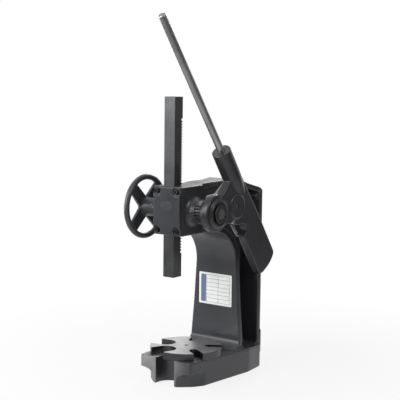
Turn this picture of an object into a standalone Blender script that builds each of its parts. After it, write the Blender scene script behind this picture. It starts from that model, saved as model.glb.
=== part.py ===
"""Ratchet-lever arbor press: cast frame, square rack ram, pinion shaft with handwheel,
ratchet wheel, pawl, counterweighted lever with its rod, and a slotted turning table.

Axes: +Z up, -Y the operator's side, +X the operator's right.
Origin: on the underside of the base, below the middle of the column.
"""
import math

import bmesh
import bpy
from mathutils import Matrix, Vector

MM = 0.001
INCH = 25.4 * MM

# Fits
SEAT_GAP = 0.3 * MM
CUT_OVERRUN = 5.0 * MM
EDGE_WELD = 0.001 * MM

# Frame casting: column
THROAT = 257.0 * MM
COLUMN_DEPTH = 145.0 * MM
FRONT_FLANGE_THICKNESS = 24.0 * MM
FRONT_FLANGE_TOP_WIDTH = 176.0 * MM
FRONT_FLANGE_MIDDLE_WIDTH = 194.0 * MM
FRONT_FLANGE_FOOT_WIDTH = 220.0 * MM
BACK_FLANGE_THICKNESS = 20.0 * MM
BACK_FLANGE_WIDTH = 206.0 * MM
BACK_FLANGE_SET_IN = 0.5 * MM
BACK_PAD_WIDTH = 210.0 * MM
BACK_PAD_THICKNESS = 3.0 * MM
BACK_PAD_BOTTOM = 45.0 * MM
BACK_PAD_TOP = 132.0 * MM
TOP_FLANGE_WIDTH = 80.0 * MM
TOP_FLANGE_SPREAD_START = 120.0 * MM
WEB_THICKNESS = 36.0 * MM
FOOT_FILLET_RADIUS = 30.0 * MM
THROAT_FILLET_RADIUS = 127.0 * MM
THROAT_NARROWING_LENGTH = 50.0 * MM
COLUMN_TOP_DROP = 48.0 * MM
HEAD_DROP_START = 205.0 * MM

# Frame casting: head
HEAD_BOTTOM_HEIGHT = 519.0 * MM
HEAD_HEIGHT = 171.0 * MM
HEAD_WIDTH = 113.0 * MM
HEAD_BLOCK_LENGTH = 122.0 * MM
RIGHT_BOSS_RADIUS = 36.0 * MM
RIGHT_BOSS_LENGTH = 27.5 * MM
LEFT_BOSS_RADIUS = 34.0 * MM
LEFT_BOSS_LENGTH = 43.5 * MM
BOSS_SWELLING_SHARE = 0.14
BOSS_SWELLING_END_SHARE = 0.12
BOSS_STRAIGHT_START_SHARE = 0.3

# Frame casting: base
BASE_HEIGHT = 92.0 * MM
BASE_REAR_HEIGHT = 76.0 * MM
BASE_FRONT_REACH = 36.5 * MM
BASE_FRONT_WIDTH = 218.0 * MM
BASE_SHOULDER_WIDTH = 228.0 * MM
BASE_SHOULDER_SET_BACK = 75.0 * MM
BASE_REAR_WIDTH = 264.0 * MM
BASE_CORNER_LENGTH = 116.0 * MM
BASE_END_WIDTH = 202.0 * MM
BASE_BEND_WIDTH_SHARE = 0.6
BASE_BEND_LENGTH_SHARE = 0.22
FOOT_NOSE_WIDTH = 100.0 * MM
FOOT_SHOULDER_WIDTH = 186.0 * MM
FOOT_NOSE_SET_BACK = 38.5 * MM
COVE_BOTTOM_HEIGHT = 22.0 * MM
COVE_TOP_HEIGHT = 51.0 * MM
BASE_EDGE_ROUND = 4.0 * MM
SLOT_WIDTH = 77.8 * MM
SLOT_DEPTH = 61.5 * MM

# Ram and its rack
RAM_WIDTH = 1.75 * INCH
RAM_LENGTH = 614.0 * MM
RAM_REST_DROP = 143.8 * MM
RAM_TIP_CHAMFER = 3.0 * MM
RACK_MODULE = 3.175 * MM
RACK_TEETH = 47
RACK_ADDENDUM_SHARE = 0.8
RACK_START_SHARE = 0.118
PRESSURE_ANGLE = math.radians(20.0)
MESH_BACKLASH = 0.25 * MM
TOOTH_ROOT_CLEARANCE = 0.8 * MM

# Ram cap
CAP_WIDTH = 113.0 * MM
CAP_HEIGHT = 167.4 * MM
CAP_THICKNESS = 14.0 * MM
CAP_NOTCH_DEPTH = 6.0 * MM
CAP_NOTCH_RADIUS = 19.0 * MM
CAP_SCREW_SPACING_X = 82.0 * MM
CAP_SCREW_SPACING_Z = 134.0 * MM
CAP_SCREW_RADIUS = 5.0 * MM
CAP_SCREW_HEAD_RADIUS = 8.0 * MM
CAP_SCREW_HEAD_LENGTH = 10.0 * MM
CAP_SCREW_GRIP = 26.0 * MM
CAP_SCREW_SOCKET_RADIUS = 4.6 * MM
CAP_SCREW_SOCKET_DEPTH = 5.0 * MM

# Pinion shaft
PINION_TEETH = 14
PINION_FROM_HEAD_BOTTOM = 82.2 * MM
PINION_FACE_WIDTH = 50.0 * MM
SHAFT_RADIUS = 0.75 * INCH
SHAFT_BORE_RADIUS = 27.3 * MM
BUSHING_RADIUS = 27.0 * MM
SHAFT_END_PROUD = 1.2 * MM
SHAFT_CHAMFER = 2.0 * MM
KEY_WIDTH = 8.0 * MM
KEY_HEIGHT = 7.0 * MM
KEY_SHAFT_DEPTH = 4.0 * MM

# Ratchet wheel
RATCHET_TEETH = 24
RATCHET_RADIUS = 42.0 * MM
RATCHET_TOOTH_DEPTH = 5.5 * MM
RATCHET_WIDTH = 26.0 * MM
RATCHET_LAND_SHARE = 0.22
RATCHET_KEY_LENGTH = 22.0 * MM
RIGHT_WASHER_THICKNESS = 3.0 * MM
RIGHT_WASHER_RADIUS = 30.0 * MM

# Handwheel
HANDWHEEL_RADIUS = 113.6 * MM
HANDWHEEL_RIM_RADIUS = 10.0 * MM
HANDWHEEL_HUB_RADIUS = 33.0 * MM
HANDWHEEL_HUB_LENGTH = 62.0 * MM
HANDWHEEL_RIM_FROM_BOSS = 52.4 * MM
HANDWHEEL_SPOKE_COUNT = 4
HANDWHEEL_SPOKE_HUB_WIDTH = 42.0 * MM
HANDWHEEL_SPOKE_RIM_WIDTH = 34.0 * MM
HANDWHEEL_SPOKE_THICKNESS = 12.0 * MM
HANDWHEEL_SPOKE_TURN = math.radians(45.0)
HANDWHEEL_KEY_LENGTH = 40.0 * MM
HANDWHEEL_SCREW_RADIUS = 4.0 * MM
HANDWHEEL_SCREW_FROM_BOSS = 15.5 * MM

# Lever casting
LEVER_LEAN = math.radians(35.5)
ARM_OFFSET = 141.5 * MM
ARM_RADIUS = 33.0 * MM
ARM_TOP_REACH = 156.0 * MM
ARM_TAPER_START = 40.0 * MM
ARM_TAPER_END = 185.0 * MM
PLATE_THICKNESS = 32.0 * MM
PLATE_BACK = 181.0 * MM
COUNTERWEIGHT_REACH = 356.0 * MM
COUNTERWEIGHT_TOP = 163.0 * MM
COUNTERWEIGHT_FRONT = 66.0 * MM
COUNTERWEIGHT_CORNER = 14.0 * MM
COUNTERWEIGHT_END_DROP = 26.0 * MM
PLATE_CORNER_RADIUS = 8.4 * MM
PLATE_NOTCH_RISE = 20.0 * MM
PLATE_NOTCH_END = 32.0 * MM
PLATE_ARM_SHARE = 0.4
PLATE_ARM_FRONT_SHARE = 0.6
EDGE_BEND_SHARE = 0.3
HUB_COLLAR_RADIUS = 50.0 * MM
HUB_COLLAR_LENGTH = 9.0 * MM
HUB_FLARE_LENGTH = 9.0 * MM
HUB_RADIUS = 64.0 * MM
HUB_LENGTH = 54.0 * MM
HUB_EDGE_ROUND = 5.0 * MM
LEVER_BUSHING_RADIUS = 23.0 * MM
END_COLLAR_RADIUS = 32.0 * MM
END_COLLAR_LENGTH = 6.0 * MM
PAWL_BOSS_RADIUS = 40.0 * MM
PAWL_BOSS_PROUD = 3.0 * MM
PAWL_BOSS_ALONG = 46.0 * MM
PAWL_BOSS_ACROSS = 92.0 * MM
PAWL_SPACER_RADIUS = 20.0 * MM

# Lever rod
ROD_RADIUS = 0.5 * INCH
ROD_SET = math.radians(1.2)
ROD_VISIBLE_LENGTH = 549.0 * MM
ROD_SOCKET_DEPTH = 90.0 * MM
ROD_END_ROUND = 6.0 * MM
ROD_SCREW_RADIUS = 5.0 * MM
ROD_SCREW_HEAD_RADIUS = 8.0 * MM
ROD_SCREW_HEAD_LENGTH = 6.0 * MM

# Pawl and its spring
PAWL_PIN_RADIUS = 9.0 * MM
PAWL_PIN_HEAD_RADIUS = 14.0 * MM
PAWL_PIN_HEAD_LENGTH = 3.0 * MM
PAWL_EYE_RADIUS = 21.0 * MM
PAWL_THICKNESS = 24.0 * MM
PAWL_LIFT = math.radians(7.0)
PAWL_CONTACT_ANGLE = math.radians(62.0)
PAWL_NOSE_DEPTH = 13.0 * MM
PAWL_TOOTH_CLEARANCE = 3.0 * MM
PAWL_TIP_CLEARANCE = 1.3 * MM
PAWL_FINGER_ALONG = 35.0 * MM
PAWL_FINGER_UP = 72.0 * MM
PAWL_FINGER_RADIUS = 11.0 * MM
PAWL_TAIL_BACK = 15.0 * MM
PAWL_TAIL_DOWN = 55.0 * MM
PAWL_TAIL_RADIUS = 9.0 * MM
SPRING_POST_RADIUS = 3.0 * MM
SPRING_POST_PROUD = 9.0 * MM
SPRING_POST_SEAT = 10.0 * MM
SPRING_ANCHOR_BACK = 67.0 * MM
SPRING_ANCHOR_DOWN = 112.0 * MM
SPRING_COIL_RADIUS = 5.0 * MM
SPRING_WIRE_RADIUS = 0.9 * MM
SPRING_END_LENGTH = 1.8 * MM
SPRING_LEAD_LENGTH = 2.7 * MM
SPRING_CURL_COUNT = 12
STOP_SCREW_ALONG = 71.0 * MM
STOP_SCREW_ACROSS = 40.5 * MM
STOP_SCREW_RADIUS = 4.0 * MM
STOP_SCREW_HEAD_RADIUS = 7.0 * MM
STOP_SCREW_HEAD_LENGTH = 6.0 * MM

# Turning table
TABLE_RADIUS = 127.0 * MM
TABLE_THICKNESS = 25.0 * MM
TABLE_SET_BACK = 86.0 * MM
TABLE_PIN_RADIUS = 7.0 * MM
TABLE_PIN_DEPTH = 40.0 * MM
TABLE_PIN_RECESS = 2.0 * MM
TABLE_EDGE_CHAMFER = 1.5 * MM
TABLE_SLOTS = (
    # name, direction in degrees, width, distance from the centre to the slot's end
    ("right", 32.5, 30.0 * MM, 63.0 * MM),
    ("rear", 112.0, 24.0 * MM, 65.0 * MM),
    ("left", 187.5, 72.0 * MM, 48.0 * MM),
    ("front", 250.5, 76.0 * MM, 50.0 * MM),
    ("corner", 325.8, 33.0 * MM, 62.0 * MM),
)

# Record card on the column
CARD_WIDTH = 143.0 * MM
CARD_HEIGHT = 115.0 * MM
CARD_THICKNESS = 0.8 * MM
CARD_MIDDLE_HEIGHT = 291.0 * MM
CARD_CORNER_RADIUS = 4.0 * MM

# Places that follow from the sizes above
HEAD_TOP_HEIGHT = HEAD_BOTTOM_HEIGHT + HEAD_HEIGHT
PINION_HEIGHT = HEAD_BOTTOM_HEIGHT + PINION_FROM_HEAD_BOTTOM
RAM_REST_HEIGHT = HEAD_BOTTOM_HEIGHT - RAM_REST_DROP
COLUMN_FACE_Y = -COLUMN_DEPTH / 2.0
COLUMN_BACK_Y = COLUMN_DEPTH / 2.0
RAM_Y = COLUMN_FACE_Y - THROAT
RAM_BACK_Y = RAM_Y + RAM_WIDTH / 2.0
RAM_FRONT_Y = RAM_Y - RAM_WIDTH / 2.0
RACK_ADDENDUM = RACK_MODULE * RACK_ADDENDUM_SHARE
RACK_PITCH = math.pi * RACK_MODULE
PITCH_RADIUS = RACK_MODULE * PINION_TEETH / 2.0
PINION_Y = RAM_BACK_Y - RACK_ADDENDUM + PITCH_RADIUS
HEAD_SIDE_X = HEAD_WIDTH / 2.0
HEAD_FRONT_Y = RAM_FRONT_Y
HEAD_REAR_Y = HEAD_FRONT_Y + HEAD_BLOCK_LENGTH
CAP_BACK_Y = HEAD_FRONT_Y - SEAT_GAP
CAP_FRONT_Y = CAP_BACK_Y - CAP_THICKNESS
CAP_MIDDLE_Z = (HEAD_BOTTOM_HEIGHT + HEAD_TOP_HEIGHT) / 2.0
BASE_FRONT_Y = RAM_Y - BASE_FRONT_REACH
BASE_BACK_Y = COLUMN_BACK_Y
TABLE_Y = RAM_Y + TABLE_SET_BACK
TABLE_BOTTOM_Z = BASE_HEIGHT + SEAT_GAP
TABLE_TOP_Z = TABLE_BOTTOM_Z + TABLE_THICKNESS
RIGHT_BOSS_X = HEAD_SIDE_X + RIGHT_BOSS_LENGTH
LEFT_BOSS_X = -HEAD_SIDE_X - LEFT_BOSS_LENGTH
RATCHET_X = RIGHT_BOSS_X + SEAT_GAP + RIGHT_WASHER_THICKNESS + SEAT_GAP
HUB_X = RATCHET_X + RATCHET_WIDTH + SEAT_GAP
HUB_END_X = HUB_X + HUB_LENGTH
END_COLLAR_X = HUB_END_X + SEAT_GAP
SHAFT_RIGHT_X = END_COLLAR_X + END_COLLAR_LENGTH + SHAFT_END_PROUD
WHEEL_HUB_X = LEFT_BOSS_X - SEAT_GAP
SHAFT_LEFT_X = WHEEL_HUB_X - HANDWHEEL_HUB_LENGTH - SHAFT_END_PROUD
PLATE_OUTER_X = HUB_END_X - SHAFT_END_PROUD
PLATE_INNER_X = PLATE_OUTER_X - PLATE_THICKNESS
PLATE_MIDDLE_X = (PLATE_OUTER_X + PLATE_INNER_X) / 2.0
PAWL_X = RATCHET_X + (RATCHET_WIDTH - PAWL_THICKNESS) / 2.0
PAWL_FAR_X = PAWL_X + PAWL_THICKNESS

# Directions in the lever's own plane, as (y, z): along the arm towards the counterweight,
# and across it towards the back
LEVER_ALONG = (math.sin(LEVER_LEAN), -math.cos(LEVER_LEAN))
LEVER_ACROSS = (math.cos(LEVER_LEAN), math.sin(LEVER_LEAN))


def clear_scene():
    for old in list(bpy.data.objects):
        bpy.data.objects.remove(old, do_unlink=True)


def make_material(name, colour, roughness, metallic):
    material = bpy.data.materials.new(name)
    material.use_nodes = True
    shader = material.node_tree.nodes["Principled BSDF"]
    shader.inputs["Base Color"].default_value = (*colour, 1.0)
    shader.inputs["Roughness"].default_value = roughness
    shader.inputs["Metallic"].default_value = metallic
    return material


def cast_paint(name):
    return make_material(name, (0.075, 0.075, 0.08), 0.45, 0.0)


def bright_steel(name):
    return make_material(name, (0.55, 0.55, 0.56), 0.3, 1.0)


def dark_steel(name):
    return make_material(name, (0.12, 0.12, 0.125), 0.4, 0.9)


def bronze(name):
    return make_material(name, (0.45, 0.3, 0.14), 0.4, 1.0)


def lever_point(along, across):
    """The (y, z) place of a point given in the lever's own directions from the pinion axis."""
    y = PINION_Y + along * LEVER_ALONG[0] + across * LEVER_ACROSS[0]
    z = PINION_HEIGHT + along * LEVER_ALONG[1] + across * LEVER_ACROSS[1]
    return y, z


def finish(name, mesh_data, material, origin=(0.0, 0.0, 0.0), smooth=True):
    """Makes an object of a bmesh in world places, with its origin moved to the given point."""
    bmesh.ops.remove_doubles(mesh_data, verts=mesh_data.verts, dist=EDGE_WELD)
    bmesh.ops.recalc_face_normals(mesh_data, faces=mesh_data.faces)
    mesh_data.transform(Matrix.Translation(-Vector(origin)))
    mesh = bpy.data.meshes.new(name)
    mesh_data.to_mesh(mesh)
    mesh_data.free()
    if smooth:
        mesh.shade_smooth()
        mesh.set_sharp_from_angle(angle=math.radians(32.0))
    if material is not None:
        mesh.materials.append(material)
    made = bpy.data.objects.new(name, mesh)
    made.location = origin
    bpy.context.scene.collection.objects.link(made)
    return made


def combine(target, others, operation):
    """Adds one exact Boolean step to the target for each other object, which is hidden."""
    for other in others:
        other.hide_render = True
        other.display_type = "WIRE"
        other.hide_set(True)
        step = target.modifiers.new(operation.title(), "BOOLEAN")
        step.operation = operation
        step.solver = "EXACT"
        step.object = other
    return target


def loft(rings, closed_ends=True):
    """A solid through rings of equally many points."""
    mesh_data = bmesh.new()
    rows = [[mesh_data.verts.new(point) for point in ring] for ring in rings]
    count = len(rows[0])
    for lower, upper in zip(rows, rows[1:]):
        for index in range(count):
            following = (index + 1) % count
            mesh_data.faces.new((lower[index], lower[following], upper[following], upper[index]))
    if closed_ends:
        mesh_data.faces.new(rows[0][::-1])
        mesh_data.faces.new(rows[-1])
    return mesh_data


def prism(outline, axis, low, high):
    """An outline, given in the two directions across an axis, drawn out along that axis."""
    places = {
        "X": lambda u, v, w: (w, u, v),
        "Y": lambda u, v, w: (u, w, v),
        "Z": lambda u, v, w: (u, v, w),
    }
    put = places[axis]
    return loft([[put(u, v, low) for u, v in outline], [put(u, v, high) for u, v in outline]])


def turned(profile, centre, axis, sides):
    """A solid turned about an axis through the centre, from (distance, radius) points."""
    directions = {
        "X": (Vector((1, 0, 0)), Vector((0, 1, 0)), Vector((0, 0, 1))),
        "Y": (Vector((0, 1, 0)), Vector((0, 0, 1)), Vector((1, 0, 0))),
        "Z": (Vector((0, 0, 1)), Vector((1, 0, 0)), Vector((0, 1, 0))),
    }
    if isinstance(axis, str):
        forward, side, up = directions[axis]
    else:
        forward = Vector(axis).normalized()
        side = Vector((1, 0, 0))
        up = forward.cross(side)
    rings = []
    for distance, radius in profile:
        ring = []
        for index in range(sides):
            angle = 2.0 * math.pi * index / sides
            spoke = side * math.cos(angle) + up * math.sin(angle)
            ring.append(Vector(centre) + forward * distance + spoke * radius)
        rings.append(ring)
    return loft(rings)


def tube_ring(profile_outer, bore, centre, axis, sides):
    """A turned solid with a bore right through it."""
    inner = [(distance, bore) for distance, radius in reversed(profile_outer)]
    loop = profile_outer + [inner[0], inner[-1]]
    mesh_data = bmesh.new()
    directions = {"X": (0, 1, 2), "Z": (2, 0, 1), "Y": (1, 2, 0)}
    forward, side, up = directions[axis]
    rows = []
    for index in range(sides):
        angle = 2.0 * math.pi * index / sides
        row = []
        for distance, radius in loop:
            place = [0.0, 0.0, 0.0]
            place[forward] = distance
            place[side] = radius * math.cos(angle)
            place[up] = radius * math.sin(angle)
            row.append(mesh_data.verts.new(Vector(centre) + Vector(place)))
        rows.append(row)
    for index, row in enumerate(rows):
        following = rows[(index + 1) % sides]
        for step in range(len(loop)):
            onward = (step + 1) % len(loop)
            mesh_data.faces.new((row[step], row[onward], following[onward], following[step]))
    return mesh_data


def arc_points(centre, radius, start, end, steps):
    """Points on an arc, with both of its ends."""
    points = []
    for index in range(steps + 1):
        angle = start + (end - start) * index / steps
        points.append((centre[0] + radius * math.cos(angle), centre[1] + radius * math.sin(angle)))
    return points


def box(name, low, high):
    """A hidden or visible plain block between two corners, used for keys and cuts."""
    outline = [(low[0], low[1]), (high[0], low[1]), (high[0], high[1]), (low[0], high[1])]
    return finish(name, prism(outline, "Z", low[2], high[2]), None, smooth=False)


def cylinder_cut(name, centre, axis, radius, low, high, sides):
    return finish(name, turned([(low, radius), (high, radius)], centre, axis, sides), None)


def base_outline(share):
    """The base's outline at one level: share 0 is the foot's and 1 the slab's."""
    foot = [
        (FOOT_NOSE_WIDTH / 2.0, BASE_FRONT_Y),
        (FOOT_SHOULDER_WIDTH / 2.0, BASE_FRONT_Y + FOOT_NOSE_SET_BACK),
        (BASE_SHOULDER_WIDTH / 2.0, BASE_FRONT_Y + BASE_SHOULDER_SET_BACK),
    ]
    slab_middle_width = (BASE_FRONT_WIDTH + BASE_SHOULDER_WIDTH) / 2.0
    slab = [
        (BASE_FRONT_WIDTH / 2.0, BASE_FRONT_Y),
        (slab_middle_width / 2.0, BASE_FRONT_Y + FOOT_NOSE_SET_BACK),
        (BASE_SHOULDER_WIDTH / 2.0, BASE_FRONT_Y + BASE_SHOULDER_SET_BACK),
    ]
    right = []
    for low, high in zip(foot, slab):
        right.append((low[0] + (high[0] - low[0]) * share, low[1] + (high[1] - low[1]) * share))
    bend_width = BASE_END_WIDTH + (BASE_REAR_WIDTH - BASE_END_WIDTH) * BASE_BEND_WIDTH_SHARE
    bend_y = BASE_BACK_Y - BASE_CORNER_LENGTH * BASE_BEND_LENGTH_SHARE
    right.append((BASE_REAR_WIDTH / 2.0, BASE_BACK_Y - BASE_CORNER_LENGTH))
    right.append((bend_width / 2.0, bend_y))
    right.append((BASE_END_WIDTH / 2.0, BASE_BACK_Y))
    left = [(-x, y) for x, y in reversed(right)]
    return right + left


def base_top(y):
    """The height of the base's top: level under the table, then falling to the rear."""
    start = COLUMN_FACE_Y - FOOT_FILLET_RADIUS
    if y <= start:
        return BASE_HEIGHT
    share = (y - start) / (BASE_BACK_Y - start)
    return BASE_HEIGHT + (BASE_REAR_HEIGHT - BASE_HEIGHT) * share


def base_solid():
    """The base, its slab standing out over the foot in a hollow cove at the front corners."""
    levels = [(0.0, 0.0), (COVE_BOTTOM_HEIGHT, 0.0)]
    cove_steps = 4
    rise = COVE_TOP_HEIGHT - COVE_BOTTOM_HEIGHT
    for step in range(1, cove_steps + 1):
        angle = math.pi / 2.0 * step / cove_steps
        levels.append((COVE_BOTTOM_HEIGHT + rise * math.sin(angle), 1.0 - math.cos(angle)))
    rings = [[(x, y, height) for x, y in base_outline(share)] for height, share in levels]
    edge = base_outline(1.0)
    rings.append([(x, y, base_top(y) - BASE_EDGE_ROUND) for x, y in edge])
    middle = Vector((0.0, (BASE_FRONT_Y + BASE_BACK_Y) / 2.0))
    inner = []
    for x, y in edge:
        inward = (middle - Vector((x, y))).normalized() * BASE_EDGE_ROUND
        inner.append((x + inward.x, y + inward.y, base_top(y)))
    rings.append(inner)
    mesh_data = loft(rings)
    return finish("base_guide", mesh_data, None, smooth=False)


def front_half_width(height):
    """Half the front flange's width at a height: it spreads towards the foot."""
    middle_height = (BASE_HEIGHT + HEAD_BOTTOM_HEIGHT - THROAT_FILLET_RADIUS) / 2.0
    top_height = HEAD_BOTTOM_HEIGHT - THROAT_FILLET_RADIUS
    if height >= top_height:
        return FRONT_FLANGE_TOP_WIDTH / 2.0
    if height >= middle_height:
        share = (top_height - height) / (top_height - middle_height)
        spread = FRONT_FLANGE_MIDDLE_WIDTH - FRONT_FLANGE_TOP_WIDTH
        return (FRONT_FLANGE_TOP_WIDTH + spread * share) / 2.0
    share = (middle_height - height) / (middle_height - BASE_HEIGHT)
    spread = FRONT_FLANGE_FOOT_WIDTH - FRONT_FLANGE_MIDDLE_WIDTH
    return (FRONT_FLANGE_MIDDLE_WIDTH + spread * share) / 2.0


def strip_solid(name, stations):
    """A flange: each station is (y, z, inward y, inward z, thickness, half width)."""
    rings = []
    for y, z, inward_y, inward_z, thickness, half in stations:
        back_y = y + inward_y * thickness
        back_z = z + inward_z * thickness
        rings.append([(-half, y, z), (half, y, z), (half, back_y, back_z), (-half, back_y, back_z)])
    return finish(name, loft(rings), None, smooth=False)


def front_flange_solid():
    """The throat's flange: foot fillet, straight face, then the wide fillet under the head."""
    thickness = FRONT_FLANGE_THICKNESS
    stations = []
    foot = (COLUMN_FACE_Y - FOOT_FILLET_RADIUS, BASE_HEIGHT + FOOT_FILLET_RADIUS)
    for y, z in arc_points(foot, FOOT_FILLET_RADIUS, -math.pi / 2.0, 0.0, 4):
        away = Vector((y - foot[0], z - foot[1])).normalized()
        stations.append((y, z, away.x, away.y, thickness, front_half_width(z)))
    middle_height = (BASE_HEIGHT + HEAD_BOTTOM_HEIGHT - THROAT_FILLET_RADIUS) / 2.0
    stations.append((COLUMN_FACE_Y, middle_height, 1.0, 0.0, thickness, front_half_width(middle_height)))
    centre = (COLUMN_FACE_Y - THROAT_FILLET_RADIUS, HEAD_BOTTOM_HEIGHT - THROAT_FILLET_RADIUS)
    for y, z in arc_points(centre, THROAT_FILLET_RADIUS, 0.0, math.pi / 2.0, 8):
        away = Vector((y - centre[0], z - centre[1])).normalized()
        stations.append((y, z, away.x, away.y, thickness, throat_half_width(y)))
    end_z = HEAD_BOTTOM_HEIGHT + 2.0 * SEAT_GAP
    stations.append((HEAD_REAR_Y, end_z, 0.0, 1.0, thickness, throat_half_width(HEAD_REAR_Y)))
    return strip_solid("front_flange_guide", stations)


def throat_half_width(y):
    """Half the flange's width below the head: it narrows to the head's width going forward."""
    narrow = HEAD_SIDE_X - SEAT_GAP
    share = min(max((y - HEAD_REAR_Y) / THROAT_NARROWING_LENGTH, 0.0), 1.0)
    return narrow + (FRONT_FLANGE_TOP_WIDTH / 2.0 - narrow) * share


def back_path():
    """The outer edge of the back and top flange, as (y, z), from the base to the head."""
    back_y = COLUMN_BACK_Y - BACK_FLANGE_SET_IN
    drop_start_y = HEAD_REAR_Y + HEAD_DROP_START
    run = back_y - drop_start_y
    fall_shares = ((0.0, 0.0), (0.17, 0.12), (0.44, 0.36), (0.74, 0.55), (0.93, 0.7), (1.0, 1.0))
    spread_y = HEAD_REAR_Y + TOP_FLANGE_SPREAD_START
    path = [(back_y, BASE_REAR_HEIGHT / 2.0), (back_y, HEAD_BOTTOM_HEIGHT)]
    for run_share, fall_share in reversed(fall_shares):
        path.append((drop_start_y + run * run_share, HEAD_TOP_HEIGHT - COLUMN_TOP_DROP * fall_share))
    path.append((spread_y, HEAD_TOP_HEIGHT))
    path.append((HEAD_REAR_Y - BACK_FLANGE_THICKNESS, HEAD_TOP_HEIGHT))
    return path


def back_pad_solid():
    """The low raised pad on the back of the column."""
    half = BACK_PAD_WIDTH / 2.0
    low = (-half, COLUMN_BACK_Y - BACK_FLANGE_THICKNESS / 2.0, BACK_PAD_BOTTOM)
    high = (half, COLUMN_BACK_Y + BACK_PAD_THICKNESS, BACK_PAD_TOP)
    return box("back_pad_guide", low, high)


def back_half_width(y):
    """Half the top flange's width: narrow behind the head, spreading to the back flange's."""
    start = HEAD_REAR_Y + TOP_FLANGE_SPREAD_START
    end = COLUMN_BACK_Y - BACK_FLANGE_SET_IN
    share = min(max((y - start) / (end - start), 0.0), 1.0)
    return (TOP_FLANGE_WIDTH + (BACK_FLANGE_WIDTH - TOP_FLANGE_WIDTH) * share) / 2.0


def back_flange_solid():
    """The outer flange: up the back, over the rear corner and along the top to the head."""
    path = back_path()
    stations = []
    for index, (y, z) in enumerate(path):
        here = Vector((y, z))
        before = here - Vector(path[max(index - 1, 0)])
        after = Vector(path[min(index + 1, len(path) - 1)]) - here
        if before.length == 0.0:
            before = after
        if after.length == 0.0:
            after = before
        mitre = before.normalized() + after.normalized()
        half_turn = before.angle(after) / 2.0
        direction = mitre.normalized() / math.cos(half_turn)
        half = back_half_width(y)
        stations.append((y, z, -direction.y, direction.x, BACK_FLANGE_THICKNESS, half))
    return strip_solid("back_flange_guide", stations)


def web_solid():
    """The plate between the flanges, from the base up into the head."""
    inner = BACK_FLANGE_THICKNESS / 2.0
    outline = []
    for y, z in back_path():
        outline.append((y - inner, z - inner))
    middle = FRONT_FLANGE_THICKNESS / 2.0
    centre = (COLUMN_FACE_Y - THROAT_FILLET_RADIUS, HEAD_BOTTOM_HEIGHT - THROAT_FILLET_RADIUS)
    outline.append((outline[-1][0], HEAD_BOTTOM_HEIGHT + middle))
    outline.extend(arc_points(centre, THROAT_FILLET_RADIUS + middle, math.pi / 2.0, 0.0, 6))
    outline.append((COLUMN_FACE_Y + middle, BASE_REAR_HEIGHT / 2.0))
    half = WEB_THICKNESS / 2.0
    return finish("web_guide", prism(outline, "X", -half, half), None, smooth=False)


def head_solid():
    """The head block, its rear edge hollowed towards the web's pocket."""
    rear_shares = ((0.0, 1.15), (0.24, 1.04), (0.53, 0.89), (0.77, 0.86), (0.88, 0.92), (1.0, 1.0))
    outline = [(HEAD_FRONT_Y, HEAD_BOTTOM_HEIGHT)]
    for height_share, length_share in rear_shares:
        y = HEAD_FRONT_Y + HEAD_BLOCK_LENGTH * length_share
        outline.append((y, HEAD_BOTTOM_HEIGHT + HEAD_HEIGHT * height_share))
    outline.append((HEAD_FRONT_Y, HEAD_TOP_HEIGHT))
    return finish("head_guide", prism(outline, "X", -HEAD_SIDE_X, HEAD_SIDE_X), None, smooth=False)


def boss_solid(name, start_x, end_x, radius):
    """A round shaft boss on the head's side, with a fillet-like swelling at its root."""
    direction = 1.0 if end_x > start_x else -1.0
    length = abs(end_x - start_x)
    swollen = radius + radius * BOSS_SWELLING_SHARE
    profile = [(-direction * CUT_OVERRUN, swollen)]
    profile.append((direction * length * BOSS_SWELLING_END_SHARE, swollen))
    profile.append((direction * length * BOSS_STRAIGHT_START_SHARE, radius))
    profile.append((direction * (length - SHAFT_CHAMFER), radius))
    profile.append((direction * length, radius - SHAFT_CHAMFER))
    return finish(name, turned(profile, (start_x, PINION_Y, PINION_HEIGHT), "X", 32), None)


def cap_screw_places():
    places = []
    for vertical in (1.0, -1.0):
        for sideways in (-1.0, 1.0):
            x = sideways * CAP_SCREW_SPACING_X / 2.0
            places.append((x, CAP_MIDDLE_Z + vertical * CAP_SCREW_SPACING_Z / 2.0))
    return places


def slot_cut():
    """The U-shaped slot through the base below the ram."""
    half = SLOT_WIDTH / 2.0
    end_y = BASE_FRONT_Y + SLOT_DEPTH
    outline = [(half, BASE_FRONT_Y - CUT_OVERRUN)]
    outline.extend(arc_points((0.0, end_y - half), half, 0.0, math.pi, 10))
    outline.append((-half, BASE_FRONT_Y - CUT_OVERRUN))
    mesh_data = prism(outline, "Z", -CUT_OVERRUN, BASE_HEIGHT + CUT_OVERRUN)
    return finish("slot_cut", mesh_data, None, smooth=False)


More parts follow.
